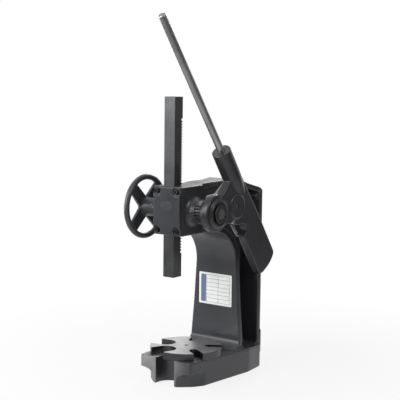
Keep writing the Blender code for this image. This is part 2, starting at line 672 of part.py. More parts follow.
def make_frame():
    frame = head_solid()
    frame.name = "frame_casting"
    frame.data.materials.append(cast_paint("frame paint"))
    right = boss_solid("right_boss_guide", HEAD_SIDE_X, RIGHT_BOSS_X, RIGHT_BOSS_RADIUS)
    left = boss_solid("left_boss_guide", -HEAD_SIDE_X, LEFT_BOSS_X, LEFT_BOSS_RADIUS)
    parts = [web_solid(), front_flange_solid(), back_flange_solid(), base_solid()]
    parts.extend([back_pad_solid(), right, left])
    combine(frame, parts, "UNION")
    half = RAM_WIDTH / 2.0 + SEAT_GAP
    low = (-half, HEAD_FRONT_Y - CUT_OVERRUN, HEAD_BOTTOM_HEIGHT - CUT_OVERRUN)
    high = (half, RAM_BACK_Y + SEAT_GAP, HEAD_TOP_HEIGHT + CUT_OVERRUN)
    cuts = [slot_cut(), box("ram_channel_cut", low, high)]
    shaft_axis = (0.0, PINION_Y, PINION_HEIGHT)
    low_x = LEFT_BOSS_X - CUT_OVERRUN
    high_x = RIGHT_BOSS_X + CUT_OVERRUN
    cuts.append(cylinder_cut("shaft_bore_cut", shaft_axis, "X", SHAFT_BORE_RADIUS, low_x, high_x, 32))
    for index, (x, z) in enumerate(cap_screw_places()):
        depth = CAP_SCREW_GRIP - (CAP_THICKNESS - CAP_NOTCH_DEPTH) + SEAT_GAP
        centre = (x, HEAD_FRONT_Y, z)
        radius = CAP_SCREW_RADIUS + SEAT_GAP
        cuts.append(cylinder_cut(f"cap_hole_cut_{index}", centre, "Y", radius, -CUT_OVERRUN, depth, 12))
    pin_low = BASE_HEIGHT - TABLE_PIN_DEPTH - SEAT_GAP
    pin_high = BASE_HEIGHT + CUT_OVERRUN
    pin_place = (0.0, TABLE_Y, 0.0)
    pin_radius = TABLE_PIN_RADIUS + SEAT_GAP
    cuts.append(cylinder_cut("table_pin_cut", pin_place, "Z", pin_radius, pin_low, pin_high, 16))
    combine(frame, cuts, "DIFFERENCE")
    return frame


def rack_outline():
    """The ram seen from the side, as (y, z), with its teeth on the back face."""
    bottom = RAM_REST_HEIGHT
    top = RAM_REST_HEIGHT + RAM_LENGTH
    root_y = RAM_BACK_Y - RACK_ADDENDUM - RACK_MODULE - TOOTH_ROOT_CLEARANCE
    pitch_y = RAM_BACK_Y - RACK_ADDENDUM
    half_tooth = RACK_PITCH / 4.0 - MESH_BACKLASH / 2.0
    slope = math.tan(PRESSURE_ANGLE)
    tip_half = half_tooth - RACK_ADDENDUM * slope
    root_half = half_tooth + (pitch_y - root_y) * slope
    chamfer = RAM_TIP_CHAMFER
    outline = [(RAM_BACK_Y - chamfer, bottom), (RAM_BACK_Y, bottom + chamfer)]
    first = round((bottom + RAM_LENGTH * RACK_START_SHARE - PINION_HEIGHT) / RACK_PITCH)
    for index in range(RACK_TEETH):
        middle = PINION_HEIGHT + (first + index + 0.5) * RACK_PITCH
        if index > 0:
            outline.append((root_y, middle - root_half))
            outline.append((RAM_BACK_Y, middle - tip_half))
        if index < RACK_TEETH - 1:
            outline.append((RAM_BACK_Y, middle + tip_half))
            outline.append((root_y, middle + root_half))
    outline.append((RAM_BACK_Y, top - chamfer))
    outline.append((RAM_BACK_Y - chamfer, top))
    outline.append((RAM_FRONT_Y + chamfer, top))
    outline.append((RAM_FRONT_Y, top - chamfer))
    outline.append((RAM_FRONT_Y, bottom + chamfer))
    outline.append((RAM_FRONT_Y + chamfer, bottom))
    return outline


def make_ram():
    half = RAM_WIDTH / 2.0
    mesh_data = prism(rack_outline(), "X", -half, half)
    return finish("ram", mesh_data, dark_steel("ram steel"), (0.0, RAM_Y, RAM_REST_HEIGHT), smooth=False)


def make_cap():
    half = CAP_WIDTH / 2.0
    low_z = CAP_MIDDLE_Z - CAP_HEIGHT / 2.0
    high_z = CAP_MIDDLE_Z + CAP_HEIGHT / 2.0
    outline = [(-half, low_z), (half, low_z), (half, high_z), (-half, high_z)]
    mesh_data = prism(outline, "Y", CAP_FRONT_Y, CAP_BACK_Y)
    cap = finish("ram_cap", mesh_data, cast_paint("cap paint"), smooth=False)
    cuts = []
    for index, (x, z) in enumerate(cap_screw_places()):
        corner = CUT_OVERRUN + half - abs(x)
        side = math.copysign(1.0, x)
        rise = math.copysign(1.0, z - CAP_MIDDLE_Z)
        outline = notch_outline(x, z, side, rise, corner)
        low = CAP_FRONT_Y - CUT_OVERRUN
        high = CAP_FRONT_Y + CAP_NOTCH_DEPTH
        cuts.append(finish(f"cap_notch_cut_{index}", prism(outline, "Y", low, high), None, smooth=False))
        radius = CAP_SCREW_RADIUS + SEAT_GAP
        centre = (x, CAP_FRONT_Y, z)
        far = CAP_THICKNESS + CUT_OVERRUN
        cuts.append(cylinder_cut(f"cap_drill_cut_{index}", centre, "Y", radius, -CUT_OVERRUN, far, 12))
    return combine(cap, cuts, "DIFFERENCE")


def notch_outline(x, z, side, rise, corner):
    """A screw's seat, round towards the cap's middle and open to its corner."""
    inward = math.atan2(-rise, -side)
    start = inward - math.pi * 0.75
    points = arc_points((x, z), CAP_NOTCH_RADIUS, start, start + math.pi * 1.5, 12)
    reach = CAP_NOTCH_RADIUS + corner
    points.append((x + side * reach, z + rise * reach))
    return points


def make_cap_screws():
    screws = []
    for index, (x, z) in enumerate(cap_screw_places()):
        seat_y = CAP_FRONT_Y + CAP_NOTCH_DEPTH - SEAT_GAP
        head = CAP_SCREW_HEAD_LENGTH
        depth = CAP_SCREW_GRIP
        profile = [
            (-head, CAP_SCREW_HEAD_RADIUS - SHAFT_CHAMFER / 2.0),
            (-head + SHAFT_CHAMFER / 2.0, CAP_SCREW_HEAD_RADIUS),
            (0.0, CAP_SCREW_HEAD_RADIUS),
            (0.0, CAP_SCREW_RADIUS),
            (depth, CAP_SCREW_RADIUS),
        ]
        name = f"cap_screw_{index + 1}"
        origin = (x, seat_y, z)
        mesh_data = turned(profile, origin, "Y", 16)
        screw = finish(name, mesh_data, bright_steel(f"{name} steel"), origin)
        low = -head - CUT_OVERRUN
        high = -head + CAP_SCREW_SOCKET_DEPTH
        socket = cylinder_cut(f"{name}_cut", origin, "Y", CAP_SCREW_SOCKET_RADIUS, low, high, 6)
        screws.append(combine(screw, [socket], "DIFFERENCE"))
    return screws


def involute_point(base_radius, roll, turn):
    """A point of the involute of a circle, in polar form: radius and angle."""
    radius = base_radius * math.sqrt(1.0 + roll * roll)
    return radius, turn + roll - math.atan(roll)


def pinion_outline():
    """The pinion's teeth as (y, z) about its axis, one tooth pointing at the ram."""
    base_radius = PITCH_RADIUS * math.cos(PRESSURE_ANGLE)
    tip_radius = PITCH_RADIUS + RACK_MODULE
    root_radius = PITCH_RADIUS - RACK_ADDENDUM - TOOTH_ROOT_CLEARANCE
    pitch_roll = math.tan(PRESSURE_ANGLE)
    tip_roll = math.sqrt((tip_radius / base_radius) ** 2 - 1.0)
    pitch_turn = pitch_roll - math.atan(pitch_roll)
    half_angle = (RACK_PITCH / 4.0 - MESH_BACKLASH / 2.0) / PITCH_RADIUS
    flank_steps = 4
    outline = []
    for tooth in range(PINION_TEETH):
        middle = math.pi + 2.0 * math.pi * tooth / PINION_TEETH
        flank = []
        for step in range(flank_steps + 1):
            roll = tip_roll * step / flank_steps
            radius, turn = involute_point(base_radius, roll, -half_angle - pitch_turn)
            flank.append((radius, turn))
        flank.insert(0, (root_radius, flank[0][1]))
        both = [(radius, middle + turn) for radius, turn in flank]
        both.extend([(radius, middle - turn) for radius, turn in reversed(flank)])
        for radius, angle in both:
            outline.append((PINION_Y + radius * math.cos(angle), PINION_HEIGHT + radius * math.sin(angle)))
    return outline


def key_block(name, low_x, length, cut):
    """A key on the top of the shaft, or the wider seat that is cut for it."""
    spare = SEAT_GAP if cut else 0.0
    bottom = PINION_HEIGHT + SHAFT_RADIUS - KEY_SHAFT_DEPTH - spare
    half = KEY_WIDTH / 2.0 + spare
    low = (low_x - spare, PINION_Y - half, bottom)
    high = (low_x + length + spare, PINION_Y + half, bottom + KEY_HEIGHT + 2.0 * spare)
    return box(name, low, high)


def wheel_key_x():
    return WHEEL_HUB_X - (HANDWHEEL_HUB_LENGTH + HANDWHEEL_KEY_LENGTH) / 2.0


def ratchet_key_x():
    return RATCHET_X + (RATCHET_WIDTH - RATCHET_KEY_LENGTH) / 2.0


def make_pinion_shaft():
    chamfer = SHAFT_CHAMFER
    half = PINION_FACE_WIDTH / 2.0
    profile = [
        (SHAFT_LEFT_X, SHAFT_RADIUS - chamfer),
        (SHAFT_LEFT_X + chamfer, SHAFT_RADIUS),
        (SHAFT_RIGHT_X - chamfer, SHAFT_RADIUS),
        (SHAFT_RIGHT_X, SHAFT_RADIUS - chamfer),
    ]
    origin = (0.0, PINION_Y, PINION_HEIGHT)
    mesh_data = turned(profile, origin, "X", 28)
    shaft = finish("pinion_shaft", mesh_data, dark_steel("pinion steel"), origin)
    teeth = finish("pinion_teeth_guide", prism(pinion_outline(), "X", -half, half), None, smooth=False)
    combine(shaft, [teeth], "UNION")
    cuts = [key_block("wheel_keyway_cut", wheel_key_x(), HANDWHEEL_KEY_LENGTH, True)]
    cuts.append(key_block("ratchet_keyway_cut", ratchet_key_x(), RATCHET_KEY_LENGTH, True))
    return combine(shaft, cuts, "DIFFERENCE")


def make_keys():
    wheel_key = key_block("handwheel_key", wheel_key_x(), HANDWHEEL_KEY_LENGTH, False)
    ratchet_key = key_block("ratchet_key", ratchet_key_x(), RATCHET_KEY_LENGTH, False)
    wheel_key.data.materials.append(dark_steel("handwheel key steel"))
    ratchet_key.data.materials.append(dark_steel("ratchet key steel"))


def make_bushings():
    inner_end = PINION_FACE_WIDTH / 2.0 + 2.0 * SHAFT_CHAMFER
    bore = SHAFT_RADIUS + SEAT_GAP
    axis_point = (0.0, PINION_Y, PINION_HEIGHT)
    left = [(LEFT_BOSS_X + SEAT_GAP, BUSHING_RADIUS), (-inner_end, BUSHING_RADIUS)]
    right = [(inner_end, BUSHING_RADIUS), (RIGHT_BOSS_X - SEAT_GAP, BUSHING_RADIUS)]
    finish("left_bushing", tube_ring(left, bore, axis_point, "X", 32), bronze("left bronze"), axis_point)
    finish("right_bushing", tube_ring(right, bore, axis_point, "X", 32), bronze("right bronze"), axis_point)


def make_thrust_washer():
    low = RIGHT_BOSS_X + SEAT_GAP
    profile = [(low, RIGHT_WASHER_RADIUS), (low + RIGHT_WASHER_THICKNESS, RIGHT_WASHER_RADIUS)]
    centre = (0.0, PINION_Y, PINION_HEIGHT)
    mesh_data = tube_ring(profile, SHAFT_RADIUS + SEAT_GAP, centre, "X", 28)
    finish("thrust_washer", mesh_data, bright_steel("washer steel"), centre)


def ratchet_outline():
    """The ratchet teeth as (y, z): a radial face that is pushed, then a long slope."""
    root = RATCHET_RADIUS - RATCHET_TOOTH_DEPTH
    pitch = 2.0 * math.pi / RATCHET_TEETH
    outline = []
    for tooth in range(RATCHET_TEETH):
        face = PAWL_CONTACT_ANGLE + tooth * pitch
        land = face + pitch * RATCHET_LAND_SHARE
        for radius, angle in ((root, face), (RATCHET_RADIUS, face), (RATCHET_RADIUS, land)):
            outline.append((PINION_Y + radius * math.cos(angle), PINION_HEIGHT + radius * math.sin(angle)))
    return outline


def make_ratchet():
    mesh_data = prism(ratchet_outline(), "X", RATCHET_X, RATCHET_X + RATCHET_WIDTH)
    origin = (RATCHET_X, PINION_Y, PINION_HEIGHT)
    wheel = finish("ratchet_wheel", mesh_data, dark_steel("ratchet steel"), origin, smooth=False)
    axis_point = (0.0, PINION_Y, PINION_HEIGHT)
    low = RATCHET_X - CUT_OVERRUN
    high = RATCHET_X + RATCHET_WIDTH + CUT_OVERRUN
    bore = cylinder_cut("ratchet_bore_cut", axis_point, "X", SHAFT_RADIUS + SEAT_GAP, low, high, 28)
    length = RATCHET_WIDTH + 2.0 * CUT_OVERRUN
    keyway = key_block("ratchet_seat_cut", low, length, True)
    return combine(wheel, [bore, keyway], "DIFFERENCE")


def make_handwheel():
    """A rim, flat spokes that narrow outwards and a long hub, in one casting."""
    rim_x = LEFT_BOSS_X - HANDWHEEL_RIM_FROM_BOSS
    centre = (rim_x, PINION_Y, PINION_HEIGHT)
    middle_radius = HANDWHEEL_RADIUS - HANDWHEEL_RIM_RADIUS
    rim = bmesh.new()
    around = 40
    section = 10
    rows = []
    for index in range(around):
        angle = 2.0 * math.pi * index / around
        row = []
        for step in range(section):
            turn = 2.0 * math.pi * step / section
            radius = middle_radius + HANDWHEEL_RIM_RADIUS * math.cos(turn)
            x = rim_x + HANDWHEEL_RIM_RADIUS * math.sin(turn)
            y = PINION_Y + radius * math.cos(angle)
            z = PINION_HEIGHT + radius * math.sin(angle)
            row.append(rim.verts.new((x, y, z)))
        rows.append(row)
    for index, row in enumerate(rows):
        following = rows[(index + 1) % around]
        for step in range(section):
            onward = (step + 1) % section
            rim.faces.new((row[step], row[onward], following[onward], following[step]))
    wheel = finish("handwheel", rim, cast_paint("handwheel paint"), centre)
    guides = []
    half = HANDWHEEL_SPOKE_THICKNESS / 2.0
    for index in range(HANDWHEEL_SPOKE_COUNT):
        angle = HANDWHEEL_SPOKE_TURN + 2.0 * math.pi * index / HANDWHEEL_SPOKE_COUNT
        out = Vector((math.cos(angle), math.sin(angle)))
        side = Vector((-out.y, out.x))
        outline = []
        reaches = (
            (HANDWHEEL_HUB_RADIUS / 2.0, HANDWHEEL_SPOKE_HUB_WIDTH / 2.0),
            (middle_radius, HANDWHEEL_SPOKE_RIM_WIDTH / 2.0),
        )
        for reach, width in reaches:
            outline.append(out * reach - side * width)
        for reach, width in reversed(reaches):
            outline.append(out * reach + side * width)
        points = [(PINION_Y + point.x, PINION_HEIGHT + point.y) for point in outline]
        mesh_data = prism(points, "X", rim_x - half, rim_x + half)
        guides.append(finish(f"spoke_guide_{index}", mesh_data, None, smooth=False))
    chamfer = SHAFT_CHAMFER
    hub_end_x = WHEEL_HUB_X - HANDWHEEL_HUB_LENGTH
    profile = [
        (hub_end_x, HANDWHEEL_HUB_RADIUS - chamfer),
        (hub_end_x + chamfer, HANDWHEEL_HUB_RADIUS),
        (WHEEL_HUB_X - chamfer, HANDWHEEL_HUB_RADIUS),
        (WHEEL_HUB_X, HANDWHEEL_HUB_RADIUS - chamfer),
    ]
    axis_point = (0.0, PINION_Y, PINION_HEIGHT)
    guides.append(finish("wheel_hub_guide", turned(profile, axis_point, "X", 28), None))
    combine(wheel, guides, "UNION")
    low = hub_end_x - CUT_OVERRUN
    high = WHEEL_HUB_X + CUT_OVERRUN
    cuts = [cylinder_cut("wheel_bore_cut", axis_point, "X", SHAFT_RADIUS + SEAT_GAP, low, high, 28)]
    cuts.append(key_block("wheel_seat_cut", low, high - low, True))
    screw_place = (wheel_screw_x(), PINION_Y, PINION_HEIGHT)
    radius = HANDWHEEL_SCREW_RADIUS + SEAT_GAP
    reach = HANDWHEEL_HUB_RADIUS + CUT_OVERRUN
    cuts.append(cylinder_cut("wheel_screw_cut", screw_place, "Z", radius, SHAFT_RADIUS, reach, 10))
    return combine(wheel, cuts, "DIFFERENCE")


def wheel_screw_x():
    return WHEEL_HUB_X - HANDWHEEL_SCREW_FROM_BOSS


def make_handwheel_screw():
    key_top = SHAFT_RADIUS - KEY_SHAFT_DEPTH + KEY_HEIGHT
    low = key_top + SEAT_GAP
    high = HANDWHEEL_HUB_RADIUS - SHAFT_CHAMFER
    origin = (wheel_screw_x(), PINION_Y, PINION_HEIGHT)
    mesh_data = turned([(low, HANDWHEEL_SCREW_RADIUS), (high, HANDWHEEL_SCREW_RADIUS)], origin, "Z", 10)
    finish("handwheel_set_screw", mesh_data, dark_steel("set screw steel"), origin)


def rounded(points, radius, steps):
    """A closed outline with each of its corners rounded as far as the radius allows."""
    edge_share = 0.45
    made = []
    count = len(points)
    for index, point in enumerate(points):
        here = Vector(point)
        before = Vector(points[index - 1]) - here
        after = Vector(points[(index + 1) % count]) - here
        reach = min(radius, before.length * edge_share, after.length * edge_share)
        start = here + before.normalized() * reach
        end = here + after.normalized() * reach
        for step in range(steps + 1):
            share = step / steps
            first = start.lerp(here, share)
            second = here.lerp(end, share)
            made.append(tuple(first.lerp(second, share)))
    return made


def plate_outline():
    """The lever's plate as (y, z): it ties the hub, the arm and the counterweight together."""
    front = COUNTERWEIGHT_FRONT
    reach = COUNTERWEIGHT_REACH
    top = COUNTERWEIGHT_TOP
    corner = COUNTERWEIGHT_CORNER
    bend = corner * EDGE_BEND_SHARE
    arm_end = -ARM_TOP_REACH * PLATE_ARM_SHARE
    arm_back = ARM_OFFSET + ARM_RADIUS
    hub_shares = ((-0.85, 0.85), (-0.6, 0.3), (0.8, -0.2), (0.95, 0.3))
    notch_shares = ((0.62, -0.56), (0.79, 1.4), (0.975, 1.3), (1.0, 0.3))
    arm_back_shares = ((0.2, 0.05), (-PLATE_ARM_SHARE, -0.25))
    points = [(arm_end, ARM_OFFSET - ARM_RADIUS * PLATE_ARM_FRONT_SHARE)]
    for along_share, across_share in hub_shares:
        points.append((HUB_RADIUS * along_share, HUB_RADIUS * across_share))
    for along_share, rise_share in notch_shares:
        points.append((top * along_share, front + PLATE_NOTCH_RISE * rise_share))
    points.append((top + PLATE_NOTCH_END, front))
    points.append((reach - corner, front))
    points.append((reach - bend, front + corner))
    points.append((reach, (front + PLATE_BACK) / 2.0))
    points.append((reach - bend, PLATE_BACK - COUNTERWEIGHT_END_DROP))
    points.append((reach - corner, PLATE_BACK - bend))
    points.append((reach - COUNTERWEIGHT_END_DROP, PLATE_BACK))
    points.append((ARM_TAPER_END, PLATE_BACK))
    for along_share, across_share in arm_back_shares:
        points.append((ARM_TOP_REACH * along_share, arm_back + ARM_RADIUS * across_share))
    shaped = rounded(points, PLATE_CORNER_RADIUS, 2)
    return [lever_point(along, across) for along, across in shaped]


def arm_direction():
    return (0.0, LEVER_ALONG[0], LEVER_ALONG[1])


def rod_direction():
    """The rod's direction down into the arm: its socket is bored a little off the arm's line."""
    lean = LEVER_LEAN + ROD_SET
    return (0.0, math.sin(lean), -math.cos(lean))


def arm_start():
    """The centre of the arm's top end, where the rod goes in."""
    y, z = lever_point(-ARM_TOP_REACH, ARM_OFFSET)
    return (PLATE_MIDDLE_X, y, z)


def arm_solid():
    """The round upper arm, narrowing into the plate below the hub's height."""
    end_radius = PLATE_THICKNESS / 2.0
    length = ARM_TOP_REACH + ARM_TAPER_END
    profile = [
        (0.0, ARM_RADIUS - SHAFT_CHAMFER),
        (SHAFT_CHAMFER, ARM_RADIUS),
        (ARM_TOP_REACH + ARM_TAPER_START, ARM_RADIUS),
        (length, end_radius - SEAT_GAP),
    ]
    return finish("arm_guide", turned(profile, arm_start(), arm_direction(), 28), None)


def hub_profile():
    flare_end = HUB_COLLAR_LENGTH + HUB_FLARE_LENGTH
    bend = HUB_EDGE_ROUND * EDGE_BEND_SHARE
    return [
        (0.0, HUB_COLLAR_RADIUS - SHAFT_CHAMFER),
        (SHAFT_CHAMFER, HUB_COLLAR_RADIUS),
        (HUB_COLLAR_LENGTH, HUB_COLLAR_RADIUS),
        (flare_end, HUB_RADIUS),
        (HUB_LENGTH - HUB_EDGE_ROUND, HUB_RADIUS),
        (HUB_LENGTH - bend, HUB_RADIUS - bend),
        (HUB_LENGTH, HUB_RADIUS - HUB_EDGE_ROUND),
    ]


def pawl_place():
    return lever_point(PAWL_BOSS_ALONG, PAWL_BOSS_ACROSS)


def anchor_place():
    y, z = pawl_place()
    return y + SPRING_ANCHOR_BACK, z - SPRING_ANCHOR_DOWN


def rod_screw_place():
    start = Vector(arm_start())
    return start + Vector(arm_direction()) * (ROD_SOCKET_DEPTH / 2.0)


def across_direction():
    return (0.0, LEVER_ACROSS[0], LEVER_ACROSS[1])


def make_lever():
    plate = prism(plate_outline(), "X", PLATE_INNER_X, PLATE_OUTER_X)
    origin = (0.0, PINION_Y, PINION_HEIGHT)
    lever = finish("lever_casting", plate, cast_paint("lever paint"), origin, smooth=False)
    hub = finish("hub_guide", turned(hub_profile(), (HUB_X, PINION_Y, PINION_HEIGHT), "X", 40), None)
    pawl_y, pawl_z = pawl_place()
    boss_end = PLATE_OUTER_X + PAWL_BOSS_PROUD
    spacer_start = PAWL_FAR_X + SEAT_GAP
    boss_profile = [
        (spacer_start, PAWL_SPACER_RADIUS),
        (PLATE_INNER_X - SHAFT_CHAMFER, PAWL_SPACER_RADIUS),
        (PLATE_INNER_X + SHAFT_CHAMFER, PAWL_BOSS_RADIUS - SHAFT_CHAMFER),
        (boss_end - SHAFT_CHAMFER, PAWL_BOSS_RADIUS),
        (boss_end, PAWL_BOSS_RADIUS - SHAFT_CHAMFER),
    ]
    boss = finish("pawl_boss_guide", turned(boss_profile, (0.0, pawl_y, pawl_z), "X", 28), None)
    combine(lever, [hub, arm_solid(), boss], "UNION")
    bore_low = HUB_X - CUT_OVERRUN
    bore_high = HUB_END_X + CUT_OVERRUN
    radius = LEVER_BUSHING_RADIUS + SEAT_GAP
    cuts = [cylinder_cut("lever_bore_cut", origin, "X", radius, bore_low, bore_high, 28)]
    pin_centre = (0.0, pawl_y, pawl_z)
    pin_radius = PAWL_PIN_RADIUS + SEAT_GAP
    pin_low = spacer_start - CUT_OVERRUN
    pin_high = boss_end + CUT_OVERRUN
    cuts.append(cylinder_cut("pawl_pin_cut", pin_centre, "X", pin_radius, pin_low, pin_high, 16))
    rod_radius = ROD_RADIUS + SEAT_GAP
    depth = ROD_SOCKET_DEPTH + SEAT_GAP
    start = arm_start()
    cuts.append(cylinder_cut("rod_cut", start, rod_direction(), rod_radius, -CUT_OVERRUN, depth, 24))
    screw_radius = ROD_SCREW_RADIUS + SEAT_GAP
    screw_high = ARM_RADIUS + CUT_OVERRUN
    screw_place = rod_screw_place()
    cut = cylinder_cut("rod_screw_cut", screw_place, across_direction(), screw_radius, 0.0, screw_high, 12)
    cuts.append(cut)
    stop_y, stop_z = lever_point(STOP_SCREW_ALONG, STOP_SCREW_ACROSS)
    stop_radius = STOP_SCREW_RADIUS + SEAT_GAP
    low = PLATE_INNER_X - CUT_OVERRUN
    high = PLATE_OUTER_X + CUT_OVERRUN
    cuts.append(cylinder_cut("stop_screw_cut", (0.0, stop_y, stop_z), "X", stop_radius, low, high, 12))
    anchor_y, anchor_z = anchor_place()
    post_radius = SPRING_POST_RADIUS + SEAT_GAP
    seat = PLATE_INNER_X + SPRING_POST_SEAT + SEAT_GAP
    cuts.append(cylinder_cut("anchor_cut", (0.0, anchor_y, anchor_z), "X", post_radius, low, seat, 10))
    return combine(lever, cuts, "DIFFERENCE")


def make_lever_bushing():
    axis_point = (0.0, PINION_Y, PINION_HEIGHT)
    profile = [(HUB_X, LEVER_BUSHING_RADIUS), (HUB_END_X, LEVER_BUSHING_RADIUS)]
    mesh_data = tube_ring(profile, SHAFT_RADIUS + SEAT_GAP, axis_point, "X", 28)
    finish("lever_bushing", mesh_data, bronze("lever bronze"), axis_point)


def make_end_collar():
    axis_point = (0.0, PINION_Y, PINION_HEIGHT)
    high = END_COLLAR_X + END_COLLAR_LENGTH
    chamfer = SHAFT_CHAMFER / 2.0
    profile = [
        (END_COLLAR_X, END_COLLAR_RADIUS),
        (high - chamfer, END_COLLAR_RADIUS),
        (high, END_COLLAR_RADIUS - chamfer),
    ]
    mesh_data = tube_ring(profile, SHAFT_RADIUS + SEAT_GAP, axis_point, "X", 32)
    finish("end_collar", mesh_data, dark_steel("collar steel"), axis_point)


def make_rod():
    bottom = ROD_SOCKET_DEPTH
    top = -ROD_VISIBLE_LENGTH
    bend = ROD_END_ROUND * EDGE_BEND_SHARE
    profile = [
        (top, ROD_RADIUS - ROD_END_ROUND),
        (top + bend, ROD_RADIUS - bend),
        (top + ROD_END_ROUND, ROD_RADIUS),
        (bottom, ROD_RADIUS),
    ]
    origin = arm_start()
    mesh_data = turned(profile, origin, rod_direction(), 24)
    finish("lever_rod", mesh_data, bright_steel("rod steel"), origin)


def make_rod_screw():
    drift = (ROD_SOCKET_DEPTH / 2.0 + ROD_SCREW_RADIUS) * math.tan(ROD_SET)
    low = ROD_RADIUS + drift + SEAT_GAP
    shoulder = ARM_RADIUS + SEAT_GAP
    profile = [
        (low, ROD_SCREW_RADIUS),
        (shoulder, ROD_SCREW_RADIUS),
        (shoulder, ROD_SCREW_HEAD_RADIUS),
        (ARM_RADIUS + ROD_SCREW_HEAD_LENGTH, ROD_SCREW_HEAD_RADIUS),
    ]
    origin = rod_screw_place()
    mesh_data = turned(profile, origin, across_direction(), 12)
    finish("rod_screw", mesh_data, dark_steel("rod screw steel"), origin)


def pawl_outline():
    """The pawl at rest, lifted clear of the ratchet: nose, finger and tail about its eye."""
    eye_y, eye_z = pawl_place()
    root = RATCHET_RADIUS - RATCHET_TOOTH_DEPTH
    contact = PAWL_CONTACT_ANGLE
    clear = PAWL_TIP_CLEARANCE
    shoulder_shares = (-1.35, 1.9)
    eye_front = math.radians(39.6)
    eye_rear_start = math.radians(230.4)
    eye_rear_end = math.radians(190.8)
    radial = Vector((math.cos(contact), math.sin(contact)))
    along = Vector((-radial.y, radial.x))
    centre = Vector((PINION_Y, PINION_HEIGHT))
    tip_low = centre + radial * (root + clear) - along * clear
    tip_high = tip_low + radial * PAWL_NOSE_DEPTH
    pitch = 2.0 * math.pi / RATCHET_TEETH
    slope_angle = contact - pitch
    slope_out = Vector((math.cos(slope_angle), math.sin(slope_angle)))
    slope_top = centre + slope_out * (RATCHET_RADIUS + PAWL_TOOTH_CLEARANCE)
    eye = Vector((eye_y, eye_z))
    lift = Matrix.Rotation(-PAWL_LIFT, 2)
    tip_low = eye + lift @ (tip_low - eye)
    tip_high = eye + lift @ (tip_high - eye)
    slope_top = eye + lift @ (slope_top - eye)
    eye_radius = PAWL_EYE_RADIUS
    finger = eye + Vector((PAWL_FINGER_ALONG, PAWL_FINGER_UP))
    tail = eye + Vector((PAWL_TAIL_BACK, -PAWL_TAIL_DOWN))
    points = [tuple(tip_low), tuple(tip_high)]
    points.append(tuple(eye + Vector(shoulder_shares) * eye_radius))
    finger_angle = math.atan2(PAWL_FINGER_UP, PAWL_FINGER_ALONG)
    start = finger_angle + math.pi / 2.0
    points.extend(arc_points(finger, PAWL_FINGER_RADIUS, start, start - math.pi, 6))
    points.extend(arc_points(eye, eye_radius, eye_front, -eye_front, 5))
    tail_angle = math.atan2(-PAWL_TAIL_DOWN, PAWL_TAIL_BACK)
    start = tail_angle + math.pi / 2.0
    points.extend(arc_points(tail, PAWL_TAIL_RADIUS, start, start - math.pi, 6))
    points.extend(arc_points(eye, eye_radius, eye_rear_start, eye_rear_end, 2))
    points.append(tuple(slope_top))
    return points


def make_pawl():
    eye_y, eye_z = pawl_place()
    origin = (PAWL_X, eye_y, eye_z)
    mesh_data = prism(pawl_outline(), "X", PAWL_X, PAWL_FAR_X)
    pawl = finish("pawl", mesh_data, dark_steel("pawl steel"), origin, smooth=False)
    low = PAWL_X - CUT_OVERRUN
    high = PAWL_FAR_X + CUT_OVERRUN
    eye_centre = (0.0, eye_y, eye_z)
    cuts = [cylinder_cut("pawl_eye_cut", eye_centre, "X", PAWL_PIN_RADIUS + SEAT_GAP, low, high, 20)]
    tail_y, tail_z = tail_place()
    post_low = PAWL_FAR_X - SPRING_POST_SEAT - SEAT_GAP
    radius = SPRING_POST_RADIUS + SEAT_GAP
    cuts.append(cylinder_cut("tail_post_cut", (0.0, tail_y, tail_z), "X", radius, post_low, high, 10))
    return combine(pawl, cuts, "DIFFERENCE")


def tail_place():
    eye_y, eye_z = pawl_place()
    return eye_y + PAWL_TAIL_BACK, eye_z - PAWL_TAIL_DOWN


def make_pawl_pin():
    eye_y, eye_z = pawl_place()
    head_low = PAWL_X - SEAT_GAP - PAWL_PIN_HEAD_LENGTH
    profile = [
        (head_low, PAWL_PIN_HEAD_RADIUS),
        (PAWL_X - SEAT_GAP, PAWL_PIN_HEAD_RADIUS),
        (PAWL_X - SEAT_GAP, PAWL_PIN_RADIUS),
        (PLATE_OUTER_X + PAWL_BOSS_PROUD - SHAFT_CHAMFER, PAWL_PIN_RADIUS),
    ]
    centre = (0.0, eye_y, eye_z)
    finish("pawl_pin", turned(profile, centre, "X", 20), bright_steel("pawl pin steel"), centre)


def spring_plane_x():
    return (PAWL_FAR_X + PLATE_INNER_X) / 2.0


def make_spring_posts():
    tail_y, tail_z = tail_place()
    low = PAWL_FAR_X - SPRING_POST_SEAT
    high = PAWL_FAR_X + SPRING_POST_PROUD
    centre = (0.0, tail_y, tail_z)
    mesh_data = turned([(low, SPRING_POST_RADIUS), (high, SPRING_POST_RADIUS)], centre, "X", 12)
    finish("spring_post", mesh_data, bright_steel("post steel"), centre)
    anchor_y, anchor_z = anchor_place()
    centre = (0.0, anchor_y, anchor_z)
    low = PLATE_INNER_X - SPRING_POST_PROUD
    high = PLATE_INNER_X + SPRING_POST_SEAT
    mesh_data = turned([(low, SPRING_POST_RADIUS), (high, SPRING_POST_RADIUS)], centre, "X", 12)
    finish("spring_anchor", mesh_data, bright_steel("anchor steel"), centre)


